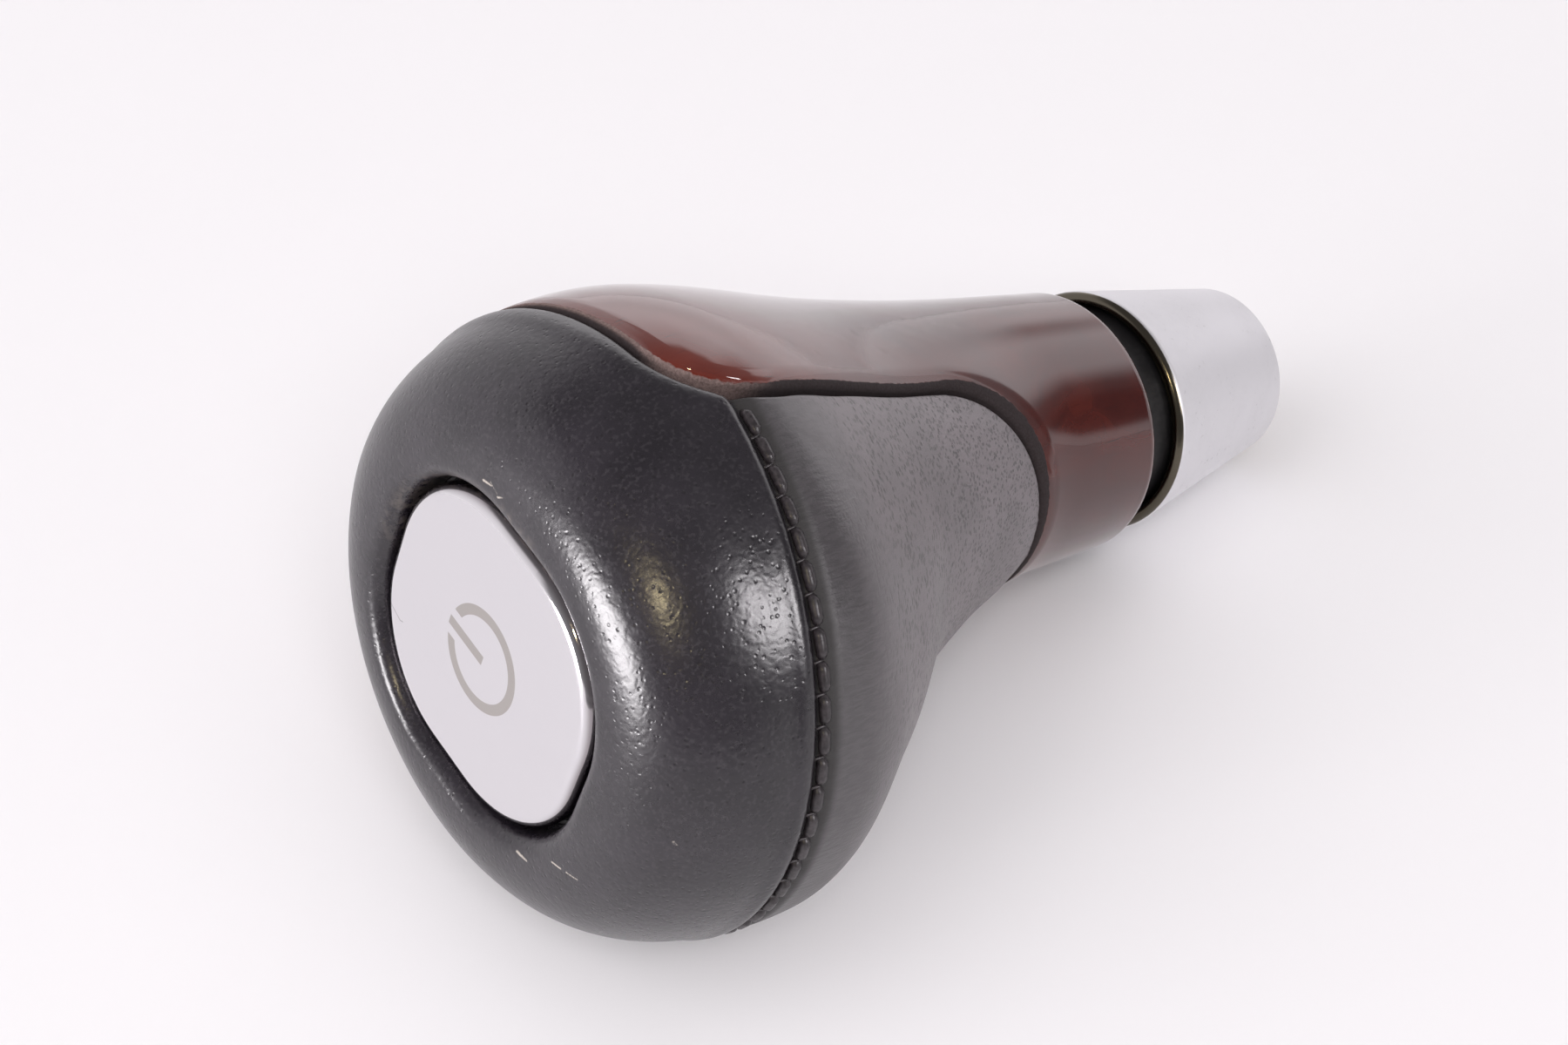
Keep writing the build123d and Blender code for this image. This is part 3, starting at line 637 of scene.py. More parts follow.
stitch_count = int((seam_length[-1] - FREE_ENDS) / STITCH_PITCH)
first_at = (seam_length[-1] - (stitch_count - 1) * STITCH_PITCH) / 2
for stitch in range(stitch_count):
    lay_stitch(first_at + stitch * STITCH_PITCH)
seam_thread = add_piece("seam_thread", np.concatenate(thread_points), thread_faces, "knob")
print(stitch_count, "stitches over", round(float(seam_length[-1]), 1), "mm of seam")

# %% [markdown]
# ## Return dome
# Under the button a silicone dome stands on the circuit board and pushes the button back up. Silicone gives
# way, so a rigid dome would stick through the button's plate when it is pressed. Here the dome is rebuilt
# as a thin-walled mesh turned round the button's axis, in place of the CAD dome, and it stays rigid.

# %% Silicone dome
DOME_HOLE = 3.3
DOME_SHOULDER = 5.2
DOME_WALL = 0.8
DOME_SIDES = 72


def cut_corners(outline):
    """Round a closed outline by cutting a quarter off each end of its sides."""
    ahead = np.roll(outline, -1, axis=0)
    return np.stack([outline * 0.75 + ahead * 0.25, outline * 0.25 + ahead * 0.75], axis=1).reshape(-1, 2)


dome_low, dome_high = [np.array(corner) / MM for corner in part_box("return_dome")]
dome_foot = (dome_high[0] - dome_low[0]) / 2
dome_base, dome_top = dome_low[2], dome_high[2]
dome_outline = np.array([
    (dome_foot, dome_base),
    (dome_foot, dome_base + DOME_WALL),
    (DOME_SHOULDER, dome_top - DOME_WALL),
    (DOME_SHOULDER, dome_top),
    (DOME_HOLE, dome_top),
    (DOME_HOLE, dome_top - DOME_WALL),
    (DOME_SHOULDER - DOME_WALL, dome_top - DOME_WALL),
    (dome_foot - DOME_WALL, dome_base + DOME_WALL),
    (dome_foot - DOME_WALL, dome_base),
])
dome_outline = cut_corners(cut_corners(dome_outline))
dome_turn = np.linspace(0, 2 * math.pi, DOME_SIDES, endpoint=False)[:, None]
dome_points = np.stack([
    dome_outline[:, 0] * np.cos(dome_turn),
    dome_outline[:, 0] * np.sin(dome_turn) + BUTTON_FORWARD,
    np.broadcast_to(dome_outline[:, 1], (DOME_SIDES, len(dome_outline))),
], axis=-1)
dome_number = np.arange(DOME_SIDES * len(dome_outline)).reshape(DOME_SIDES, -1)
dome_after = np.roll(dome_number, -1, axis=1)
dome_corners = (dome_number, np.roll(dome_number, -1, axis=0), np.roll(dome_after, -1, axis=0), dome_after)
dome_faces = np.stack(dome_corners, axis=-1).reshape(-1, 4).tolist()
silicone_dome = add_piece("silicone_dome", dome_points.reshape(-1, 3), dome_faces, "knob")
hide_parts("return_dome")
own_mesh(silicone_dome)

# %% [markdown]
# ## Building shader nodes
# Every finish here is procedural: noise, cells and distances give colour, gloss and relief. Picture
# textures would also do, but they need the surface laid out flat and fix how fine the detail can be.
# Writing node trees by hand takes many lines, so small helpers each add one kind of node, with its settings
# and wires, and return what it gives.

# %% Nodes for numbers
def add_node(tree, kind, inputs=None, **settings):
    """Add a shader node, set its properties, and fill or wire its inputs."""
    made = tree.nodes.new("ShaderNode" + kind)
    for name, value in settings.items():
        setattr(made, name, value)
    for name, value in (inputs or {}).items():
        if isinstance(value, bpy.types.NodeSocket):
            tree.links.new(value, made.inputs[name])
        else:
            made.inputs[name].default_value = value
    return made


def math_node(tree, operation, first, second=0.0, third=0.0):
    """The result of a Math node."""
    return add_node(tree, "Math", {0: first, 1: second, 2: third}, operation=operation).outputs[0]


def times(tree, first, second):
    """The product of two values."""
    return math_node(tree, "MULTIPLY", first, second)


def times_plus(tree, first, second, third):
    """The product of two values, plus a third."""
    return math_node(tree, "MULTIPLY_ADD", first, second, third)


def rest_of(tree, share):
    """What a share leaves of 1."""
    return math_node(tree, "SUBTRACT", 1.0, share)


print("number helpers ready")

# %% Nodes for vectors
def vector_node(tree, operation, first, second):
    """The vector result of a Vector Math node."""
    return add_node(tree, "VectorMath", {0: first, 1: second}, operation=operation).outputs[0]


def scale_node(tree, vector, factor):
    """A vector made longer or shorter by a factor."""
    return add_node(tree, "VectorMath", {0: vector, "Scale": factor}, operation="SCALE").outputs[0]


def measure_node(tree, operation, first, second):
    """The number that a Vector Math node finds from two vectors, such as their distance."""
    return add_node(tree, "VectorMath", {0: first, 1: second}, operation=operation).outputs["Value"]


def split_node(tree, vector):
    """The three parts of a vector."""
    return add_node(tree, "SeparateXYZ", {0: vector}).outputs


def place_node(tree):
    """Place on the object in its own frame, in metres."""
    return add_node(tree, "TexCoord").outputs["Object"]


print("vector helpers ready")

# %% Nodes for steps, blends and noise
def ramp_node(tree, value, low, high, start=0.0, end=1.0):
    """A smooth step of a value from low to high."""
    settings = {"Value": value, "From Min": low, "From Max": high, "To Min": start, "To Max": end}
    return add_node(tree, "MapRange", settings, interpolation_type="SMOOTHSTEP").outputs[0]


def mix_values(tree, share, first, second):
    """A blend of two values."""
    return add_node(tree, "Mix", {0: share, 2: first, 3: second}).outputs[0]


def mix_colours(tree, share, first, second):
    """A blend of two colours, each an output of a node or three numbers."""
    ends = [(*end, 1) if isinstance(end, tuple) else end for end in (first, second)]
    return add_node(tree, "Mix", {0: share, 6: ends[0], 7: ends[1]}, data_type="RGBA").outputs[2]


def lay_over(tree, base, colour, mask, amount):
    """A colour laid over a base where a mask says so, by at most an amount."""
    return mix_colours(tree, times(tree, mask, amount), base, colour)


def noise_node(tree, vector, scale, detail=2.0, roughness=0.5, distortion=0.0):
    """The value of a Noise Texture."""
    settings = {"Vector": vector, "Scale": scale, "Detail": detail}
    settings.update({"Roughness": roughness, "Distortion": distortion})
    return add_node(tree, "TexNoise", settings).outputs[0]


print("blend helpers ready")

# %% Starting materials and node groups
def start_group(name, inputs, outputs):
    """A new shader node group with its input and output sockets."""
    group = bpy.data.node_groups.new(name, "ShaderNodeTree")
    for label, kind, default in inputs:
        group.interface.new_socket(label, in_out="INPUT", socket_type=kind).default_value = default
    for label in outputs:
        group.interface.new_socket(label, in_out="OUTPUT", socket_type="NodeSocketFloat")
    return group, group.nodes.new("NodeGroupInput").outputs, group.nodes.new("NodeGroupOutput").inputs


def use_group(tree, group, inputs):
    """Place a node group in a tree and return its outputs."""
    return add_node(tree, "Group", inputs, node_tree=group).outputs


def start_material(name, **settings):
    """A new material with a Principled shader whose plain values are set on its own sockets."""
    material = bpy.data.materials.new(name)
    material.use_nodes = True
    shader = material.node_tree.nodes["Principled BSDF"]
    for label, value in settings.items():
        shader.inputs[label.replace("_", " ").title().replace("Ior", "IOR")].default_value = value
    return material, material.node_tree, shader.inputs


def wire(tree, value, socket):
    """Join an output to an input."""
    tree.links.new(value, socket)


def wire_bump(tree, height, distance, socket):
    """Raise the surface by a height map of a given depth in millimetres."""
    wire(tree, add_node(tree, "Bump", {"Height": height, "Distance": distance * MM}).outputs[0], socket)


print("material helpers ready")

# %% [markdown]
# ## Shared effects
# Leather has a grain, worn places have short strokes, and anything that has been handled has smudges. These
# could be built anew in every material. Instead each effect is a node group, built once, with its size as
# an input, so a material only says where the effect is and how coarse.

# %% Leather grain
def grain_group():
    """Fine bumps with small pits among them."""
    sockets = [("Place", "NodeSocketVector", (0, 0, 0)), ("Pits", "NodeSocketFloat", 1800.0)]
    group, given, result = start_group("leather_grain", sockets, ["Height", "Pit"])
    cells = {"Vector": given["Place"], "Scale": given["Pits"], "Randomness": 0.9}
    spread = add_node(group, "TexVoronoi", cells, feature="F1").outputs["Distance"]
    size = times_plus(group, noise_node(group, given["Place"], 800.0, 2.0), 0.42, 0.1)
    pit = ramp_node(group, math_node(group, "DIVIDE", spread, size), 0.2, 1.0, 1.0, 0.0)
    bumps = noise_node(group, given["Place"], given["Pits"], 1.0, 0.45, 0.3)
    wire(group, times_plus(group, pit, -0.55, times(group, bumps, 0.95)), result["Height"])
    wire(group, pit, result["Pit"])
    return group


grain = grain_group()
print("group", grain.name)

# %% Short strokes and smudges
def stroke_group():
    """A thin straight mark from one place to another."""
    sockets = [
        ("Place", "NodeSocketVector", (0, 0, 0)),
        ("From", "NodeSocketVector", (0, 0, 0)),
        ("To", "NodeSocketVector", (0, 0, 1)),
        ("Width", "NodeSocketFloat", 0.0001),
    ]
    group, given, result = start_group("short_stroke", sockets, ["Mask"])
    reach = vector_node(group, "SUBTRACT", given["To"], given["From"])
    offset = vector_node(group, "SUBTRACT", given["Place"], given["From"])
    past = measure_node(group, "DOT_PRODUCT", offset, reach)
    whole_way = measure_node(group, "DOT_PRODUCT", reach, reach)
    share = add_node(group, "Clamp", {"Value": math_node(group, "DIVIDE", past, whole_way)}).outputs[0]
    apart = measure_node(group, "DISTANCE", offset, scale_node(group, reach, share))
    ragged = times_plus(group, noise_node(group, given["Place"], 9000.0, 2.0), 1.6, 0.2)
    off = math_node(group, "DIVIDE", apart, times(group, given["Width"], ragged))
    wire(group, ramp_node(group, off, 0.3, 1.0, 1.0, 0.0), result["Mask"])
    return group


def smudge_group():
    """Soft patches with finer streaks in them."""
    sockets = [("Place", "NodeSocketVector", (0, 0, 0)), ("Scale", "NodeSocketFloat", 120.0)]
    group, given, result = start_group("smudges", sockets, ["Mask"])
    broad = noise_node(group, given["Place"], given["Scale"], 3.0, 0.55, 0.4)
    fine = noise_node(group, given["Place"], times(group, given["Scale"], 9.0), 4.0, 0.65)
    both = times_plus(group, fine, 0.4, times(group, broad, 0.8))
    wire(group, ramp_node(group, both, 0.5, 0.82), result["Mask"])
    return group


def add_strokes(tree, place, strokes):
    """The joined mask of several short strokes, given as ends and a width in millimetres."""
    mask = None
    for start, end, width in strokes:
        ends = {"From": [part * MM for part in start], "To": [part * MM for part in end]}
        one = use_group(tree, stroke, {"Place": place, "Width": width * MM, **ends})["Mask"]
        mask = one if mask is None else math_node(tree, "MAXIMUM", mask, one)
    return mask


def smudge_mask(tree, place, scale):
    """The smudges at a place."""
    return use_group(tree, smudges, {"Place": place, "Scale": scale})["Mask"]


stroke = stroke_group()
smudges = smudge_group()
print("groups", stroke.name, smudges.name)

# %% [markdown]
# ## Leather finishes
# Both panels are the same black hide. On the head it is smooth and a little shiny. Its grain of fine bumps
# and pits breaks up the highlights, and its lip is rubbed pale where a hand presses the button. Real grain
# could be sculpted, but it is finer than any mesh, so bump and colour carry it: the colour holds painted
# glints on the tops of the grain and painted shade in its pits.

# %% Leather on the head
HIDE_DARK = (0.0095, 0.0077, 0.0108)
HIDE_LIGHT = (0.0165, 0.0138, 0.0182)
# Painted glints on the tops of the grain, and painted shade in its pits.
PAINTED_GLINTS = (0.04, 0.036, 0.041)
PIT_SHADE = (0.005, 0.004, 0.005)
RUBBED_HIDE = (0.16, 0.135, 0.115)
SCUFFED_HIDE = (0.42, 0.38, 0.33)
LIP_SCUFFS = [
    ((-16.9, -0.6, 106.0), (-17.3, 0.5, 105.9), 0.16),
    ((-17.5, 0.3, 105.9), (-17.2, 1.5, 105.9), 0.12),
    ((-17.0, 1.6, 106.0), (-17.5, 2.2, 105.9), 0.12),
    ((12.5, 17.3, 106.0), (12.0, 18.8, 105.9), 0.2),
    ((8.8, 21.5, 106.0), (8.4, 22.6, 105.9), 0.13),
    ((8.1, 23.3, 105.8), (7.7, 24.5, 105.6), 0.13),
    ((-3.6, 30.4, 103.4), (-3.4, 30.7, 103.2), 0.25),
]


def from_button(tree, place):
    """Place seen from the button's axis, in its three parts, and the distance from that axis."""
    spot = split_node(tree, vector_node(tree, "SUBTRACT", place, (0, BUTTON_FORWARD * MM, 0)))
    squares = times_plus(tree, spot[0], spot[0], times(tree, spot[1], spot[1]))
    return spot, math_node(tree, "SQRT", squares)


def rubbed_lip(tree, place):
    """Mask of the patchy wear on the lip, to the rear and left of the button."""
    spot, away = from_button(tree, place)
    near_lip = ramp_node(tree, away, 15.2 * MM, 17.6 * MM, 1.0, 0.0)
    rear_left = ramp_node(tree, times_plus(tree, spot[1], 0.5, spot[0]), -4.0 * MM, -15.0 * MM)
    patchy = ramp_node(tree, noise_node(tree, place, 900.0, 4.0, 0.7), 0.42, 0.68)
    return times(tree, times(tree, near_lip, rear_left), patchy)


def head_leather():
    """Smooth black hide with a fine grain, rubbed and scuffed at the lip, with painted glints on the grain's
    tops and painted shade in its pits.
    """
    material, tree, shader = start_material("head_leather", specular_ior_level=0.62)
    place = place_node(tree)
    skin = use_group(tree, grain, {"Place": place, "Pits": 1500.0})
    tone = ramp_node(tree, noise_node(tree, place, 160.0, 3.0, 0.6), 0.3, 0.7)
    hide = mix_colours(tree, tone, HIDE_DARK, HIDE_LIGHT)
    # Painted highlight: pale specks stand in for glints on the grain, and the pits take painted shade.
    glint_spots = ramp_node(tree, noise_node(tree, place, 2800.0, 1.0), 0.5, 0.7, 0.0, 0.4)
    grained = lay_over(tree, mix_colours(tree, glint_spots, hide, PAINTED_GLINTS), PIT_SHADE, skin["Pit"], 0.5)
    rubbed = rubbed_lip(tree, place)
    worn = lay_over(tree, grained, RUBBED_HIDE, rubbed, 0.75)
    scuffs = add_strokes(tree, place, LIP_SCUFFS)
    wire(tree, lay_over(tree, worn, SCUFFED_HIDE, scuffs, 0.8), shader["Base Color"])
    rough = times_plus(tree, smudge_mask(tree, place, 70.0), 0.05, 0.265)
    wire(tree, times_plus(tree, rubbed, 0.2, rough), shader["Roughness"])
    wire_bump(tree, skin["Height"], 0.034, shader["Normal"])
    return material


leather_cap.data.materials.append(head_leather())
print("finish", leather_cap.data.materials[0].name)

# %% [markdown]
# The front panel is stretched and duller. Near the seam its grain is drawn out square to the seam, further
# down its pores lie round the neck, and right under the thread it sinks, with painted shade in that valley.
# One even grain would look like a sticker there, so the place below the seam blends two patterns, both laid
# out round the neck. Its colour is painted dark beside the seam as painted shade and grey further down as
# painted sheen, and its pores and creases take painted shade.

# %% Leather on the front panel
NECK_RADIUS = 26.0
# Painted sheen: the grey hide below the seam. Painted shade: the dark hide beside the seam, in the valley
# under the thread, and in the pores and creases.
SHEEN_HIDE_DARK = (0.115, 0.098, 0.105)
SHEEN_HIDE_LIGHT = (0.15, 0.127, 0.136)
SEAM_SHADE_HIDE = (0.045, 0.039, 0.043)
SHADED_HIDE = (0.008, 0.007, 0.0075)
SEAM_OFFSET = SEAM_START[1] - SEAM_SLOPE * SEAM_START[0]


def round_the_neck(tree, spot):
    """Place on the neck laid out flat: the way round it, and the height."""
    turn = math_node(tree, "ARCTAN2", spot[0], spot[1])
    return add_node(tree, "CombineXYZ", {0: times(tree, turn, NECK_RADIUS * MM), 1: spot[2]}).outputs[0]


def long_pores(tree, flat):
    """Mask of pores that are wider than tall and lie denser in some places."""
    wide = vector_node(tree, "MULTIPLY", flat, (0.6, 1.0, 1.0))
    cells = {"Vector": wide, "Scale": 2500.0, "Randomness": 1.0}
    spread = add_node(tree, "TexVoronoi", cells, feature="F1").outputs["Distance"]
    dense = ramp_node(tree, noise_node(tree, flat, 420.0, 2.0), 0.3, 0.7, 0.55, 1.0)
    return times(tree, ramp_node(tree, spread, 0.2, 0.5, 1.0, 0.0), dense)


def front_leather():
    """Stretched black hide with drawn-out grain beside the seam and long pores below it, painted grey below
    the seam as painted sheen, and dark beside the seam, in its valley, pores and creases as painted shade.
    """
    material, tree, shader = start_material("front_leather", specular_ior_level=1.0)
    place = place_node(tree)
    spot = split_node(tree, place)
    flat = round_the_neck(tree, spot)
    seam = times_plus(tree, spot[1], SEAM_SLOPE, SEAM_OFFSET * MM)
    below_seam = math_node(tree, "SUBTRACT", seam, spot[2])
    near_seam = ramp_node(tree, below_seam, 3.0 * MM, 14.0 * MM, 1.0, 0.0)
    valley = ramp_node(tree, below_seam, 1.5 * MM, 2.7 * MM, 1.0, 0.0)
    drawn_out = vector_node(tree, "MULTIPLY", flat, (1.0, 0.2, 1.0))
    strands = noise_node(tree, drawn_out, 3400.0, 2.0, 0.5, 0.3)
    pores = long_pores(tree, flat)
    tone = ramp_node(tree, noise_node(tree, place, 110.0, 3.0, 0.6), 0.3, 0.7)
    # Painted sheen further down, painted shade beside the seam.
    sheen_hide = mix_colours(tree, tone, SHEEN_HIDE_DARK, SHEEN_HIDE_LIGHT)
    hide = mix_colours(tree, near_seam, sheen_hide, SEAM_SHADE_HIDE)
    # Painted shade in the valley under the thread.
    shaded = lay_over(tree, hide, SHADED_HIDE, valley, 0.85)
    far_pores = times(tree, pores, rest_of(tree, near_seam))
    creases = times(tree, near_seam, times(tree, ramp_node(tree, strands, 0.6, 0.4), 0.4))
    marks = math_node(tree, "MAXIMUM", far_pores, creases)
    # Painted shade in the pores and creases.
    wire(tree, lay_over(tree, shaded, SHADED_HIDE, marks, 0.85), shader["Base Color"])
    dull = times_plus(tree, smudge_mask(tree, place, 80.0), 0.08, 0.38)
    wire(tree, times_plus(tree, valley, 0.4, dull), shader["Roughness"])
    fine = noise_node(tree, place, 4200.0, 3.0, 0.6)
    pored = times_plus(tree, pores, -0.9, fine)
    stranded = times_plus(tree, strands, 1.2, times(tree, fine, 0.4))
    wire_bump(tree, mix_values(tree, near_seam, pored, stranded), 0.05, shader["Normal"])
    return material


leather_skirt.data.materials.append(front_leather())
print("finish", leather_skirt.data.materials[0].name)

# %% [markdown]
# The thread is waxed and nearly black, with a faint sheen and a twist of fibres. Modelled fibres would be
# too fine to be seen from here, so one noise gives its tone, its gloss and its relief.

# %% Thread
THREAD_DARK = (0.016, 0.013, 0.0145)
THREAD_LIGHT = (0.042, 0.035, 0.038)


def thread_finish():
    """Dark waxed thread with its twist."""
    material, tree, shader = start_material("waxed_thread", specular_ior_level=0.5)
    strand = noise_node(tree, place_node(tree), 2600.0, 2.0, 0.6)
    tone = ramp_node(tree, strand, 0.3, 0.7)
    wire(tree, mix_colours(tree, tone, THREAD_DARK, THREAD_LIGHT), shader["Base Color"])
    wire(tree, times_plus(tree, strand, -0.15, 0.45), shader["Roughness"])
    wire_bump(tree, strand, 0.03, shader["Normal"])
    return material


seam_thread.data.materials.append(thread_finish())
print("finish", seam_thread.data.materials[0].name)

# %% [markdown]
# ## Finishes for the solid parts
# The wood, the chrome and the hidden parts keep their CAD meshes and only take a finish. The wood is
# stained red and lies under a thick clear lacquer: a base with a figure, and a smooth coat over it that
# gives the mirror-like sheen. Its base colour is painted lighter on the head and darker on the neck, as
# painted light and shade. Beside the groove the lacquer rounds over and ends, and a thin rough line of
# bare wood shows, in its own colour, painted paler high on the head as painted light and darker lower down
# and deeper in the groove as painted shade. A paler mesh along the edge could show that line too, but then
# the coat would stop at a hard step. So the material knows the wood's border, as two straight sides with
# rounded corners, and measures how far each place is from it.

# %% The wood's border in the material
WOOD_TOP = 93.7
WOOD_TOP_ROUNDING = 9.4
WOOD_TIP = 44.2
WOOD_TIP_ROUNDING = 12.0
WOOD_SIDE = 3.1
WOOD_LEAN = 5.5 / 49.5
WOOD_MIDDLE = 65.0


def rounded_corner(tree, first, second, radius):
    """Distance past a rounded corner, negative within it, from the distances past its two sides."""
    over = [math_node(tree, "ADD", side, radius) for side in (first, second)]
    squares = [math_node(tree, "POWER", math_node(tree, "MAXIMUM", side, 0.0), 2.0) for side in over]
    outside = math_node(tree, "SQRT", math_node(tree, "ADD", *squares))
    inside = math_node(tree, "MINIMUM", math_node(tree, "MAXIMUM", *over), 0.0)
    return math_node(tree, "SUBTRACT", math_node(tree, "ADD", outside, inside), radius)


def past_wood(tree, spot):
    """Distance past the wood's border, negative on the wood, as seen from the side."""
    lean = times_plus(tree, spot[2], -WOOD_LEAN, (WOOD_LEAN * WOOD_TIP - WOOD_SIDE) * MM)
    past_side = math_node(tree, "ADD", spot[1], lean)
    past_top = math_node(tree, "SUBTRACT", spot[2], WOOD_TOP * MM)
    upper = rounded_corner(tree, past_side, past_top, WOOD_TOP_ROUNDING * MM)
    below_tip = math_node(tree, "SUBTRACT", WOOD_TIP * MM, spot[2])
    tongue = rounded_corner(tree, times(tree, past_side, -1.0), below_tip, WOOD_TIP_ROUNDING * MM)
    high = math_node(tree, "GREATER_THAN", spot[2], WOOD_MIDDLE * MM)
    return mix_values(tree, high, times(tree, tongue, -1.0), upper)


print("wood border from", WOOD_TIP, "to", WOOD_TOP, "mm")

# %% Stain and figure
# Painted light and shade: the stain runs from its dark end on the neck to its light end on the head.
STAIN_DARK_AND_NECK_SHADE = (0.048, 0.0074, 0.006)
STAIN_LIGHT_AND_HEAD_LIGHT = (0.13, 0.0185, 0.0095)
PORE_DARK = (0.012, 0.004, 0.004)


def wood_figure(tree, place):
    """Soft clouds and bands, drawn out along the neck and bent by a second noise."""
    swirl = add_node(tree, "TexNoise", {"Vector": place, "Scale": 55.0, "Detail": 3.0}).outputs["Color"]
    drawn_out = vector_node(tree, "MULTIPLY", place, (1.0, 1.0, 0.35))
    bent = vector_node(tree, "ADD", drawn_out, scale_node(tree, swirl, 0.02))
    return noise_node(tree, bent, 150.0, 5.0, 0.6, 0.6)


def stain_with_painted_light(tree, place, spot, figure):
    """Colour of the stain over the figure, with dark pores, painted lighter on the head and darker on the
    neck as painted light and shade.
    """
    fibres = noise_node(tree, vector_node(tree, "MULTIPLY", place, (1.0, 1.0, 0.06)), 2600.0, 3.0, 0.6)
    on_head = ramp_node(tree, spot[2], 58.0 * MM, 86.0 * MM)
    # Painted light on the head and painted shade on the neck, blended with the figure.
    figure_and_painted_light = times_plus(tree, ramp_node(tree, figure, 0.36, 0.66), 0.35, times(tree, on_head, 0.65))
    stain = mix_colours(tree, figure_and_painted_light, STAIN_DARK_AND_NECK_SHADE, STAIN_LIGHT_AND_HEAD_LIGHT)
    return lay_over(tree, stain, PORE_DARK, ramp_node(tree, fibres, 0.62, 0.74), 0.6)


print("stain from", STAIN_DARK_AND_NECK_SHADE, "to", STAIN_LIGHT_AND_HEAD_LIGHT)

# %% Bare line and rounded lacquer
# Bare wood in its own colour: paler high on the head as painted light, grey lower down and dark deep in the
# groove as painted shade.
BARE_SHADED_GREY = (0.046, 0.038, 0.039)
BARE_PALE_AND_LIT = (0.25, 0.18, 0.165)
BARE_GROOVE_SHADE = (0.042, 0.034, 0.035)
BARE_FUZZ = (0.02, 0.014, 0.013)
LACQUER_ROUNDING = 2.5
STEEPEST_TURN = 0.9


def bare_wood(tree, place, spot, past):
    """Mask and colour of the ragged bare line at the groove, painted paler high on the head as painted
    light, and darker lower down and deeper in the groove as painted shade.
    """
    ragged = times_plus(tree, noise_node(tree, place, 1400.0, 3.0, 0.6), 0.5 * MM, past)
    bare = ramp_node(tree, ragged, -0.48 * MM, -0.36 * MM)
    # Painted light high on the head, painted shade lower down and deeper in the groove.
    high = ramp_node(tree, spot[2], 84.0 * MM, 91.0 * MM)
    deep = ramp_node(tree, past, -0.5 * MM, -0.1 * MM)
    band = mix_colours(tree, deep, mix_colours(tree, high, BARE_SHADED_GREY, BARE_PALE_AND_LIT), BARE_GROOVE_SHADE)
    fuzz = ramp_node(tree, noise_node(tree, place, 4000.0, 3.0, 0.7), 0.35, 0.65)
    return bare, lay_over(tree, band, BARE_FUZZ, fuzz, 0.45)


def rounded_lacquer(tree, past):
    """Height of the lacquer, which turns down in an arc beside the groove."""
    nearness = times_plus(tree, past, 1 / (LACQUER_ROUNDING * MM), 1.0)
    turned = add_node(tree, "Clamp", {"Value": nearness, "Min": 0.0, "Max": STEEPEST_TURN}).outputs[0]
    return math_node(tree, "SQRT", times_plus(tree, turned, times(tree, turned, -1.0), 1.0))


print("lacquer rounded by", LACQUER_ROUNDING, "mm at the groove")

# %% Lacquered wood
SCRATCHED_WOOD = (0.3, 0.24, 0.22)
LACQUER = {"coat_weight": 1.0, "coat_roughness": 0.03, "coat_ior": 1.55, "specular_ior_level": 0.1}
WOOD_SCRATCHES = [
    ((-5.6, 13.6, 39.0), (-4.9, 13.9, 37.8), 0.07),
    ((-5.2, 13.7, 38.6), (-5.7, 13.5, 38.2), 0.06),
    ((-8.9, 12.4, 40.8), (-8.1, 12.7, 39.6), 0.05),
    ((-12.9, -4.6, 31.2), (-12.6, -4.1, 30.2), 0.09),
    ((-13.2, -4.0, 31.0), (-12.9, -3.6, 30.4), 0.08),
]


def dress(material, *nodes):
    """Give CAD nodes a finish."""
    for name in nodes:
        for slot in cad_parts[name].material_slots:
            slot.material = material
    print("finish", material.name, "on", ", ".join(nodes))


def lacquered_wood():
    """Red-stained figured wood under clear lacquer, bare along the groove."""
    material, tree, shader = start_material("lacquered_wood", **LACQUER)
    place = place_node(tree)
    spot = split_node(tree, place)
    past = past_wood(tree, spot)
    figure = wood_figure(tree, place)
    bare, bare_colour = bare_wood(tree, place, spot, past)
    edged = mix_colours(tree, bare, stain_with_painted_light(tree, place, spot, figure), bare_colour)
    scratched = times(tree, add_strokes(tree, place, WOOD_SCRATCHES), 0.5)
    wire(tree, mix_colours(tree, scratched, edged, SCRATCHED_WOOD), shader["Base Color"])
    smooth = times_plus(tree, figure, 0.1, 0.2)
    wire(tree, times_plus(tree, bare, 0.6, smooth), shader["Roughness"])
    wire(tree, rest_of(tree, math_node(tree, "MAXIMUM", bare, scratched)), shader["Coat Weight"])
    wire_bump(tree, figure, 0.02, shader["Normal"])
    wire_bump(tree, rounded_lacquer(tree, past), LACQUER_ROUNDING, shader["Coat Normal"])
    return material


dress(lacquered_wood(), "wood_shell")

# %% [markdown]
# Chrome hardly has a colour of its own, so its finish is all in the gloss, apart from painted reflections.
# The sleeve is blasted to a satin before it is plated and only its lip is polished, so the roughness falls
# near the top, and the lip is painted dark as a painted reflection of the gap and wood beside it. Two
# materials on two sets of faces could do that as well, but one material with a step at the lip's height
# keeps the sleeve whole.

# %% Satin chrome on the sleeve
SLEEVE_LIP = 21.35
LIP_SOFTNESS = 0.08
PLATING = (0.73, 0.725, 0.75)
HANDLED_PLATING = (0.66, 0.655, 0.68)
SPECKED_PLATING = (0.42, 0.41, 0.42)
# Painted reflection: the lip's dark colour stands in for the dark gap and wood that it mirrors.
DARK_LIP_REFLECTION = (0.11, 0.098, 0.076)
LIP_ROUGHNESS = 0.2


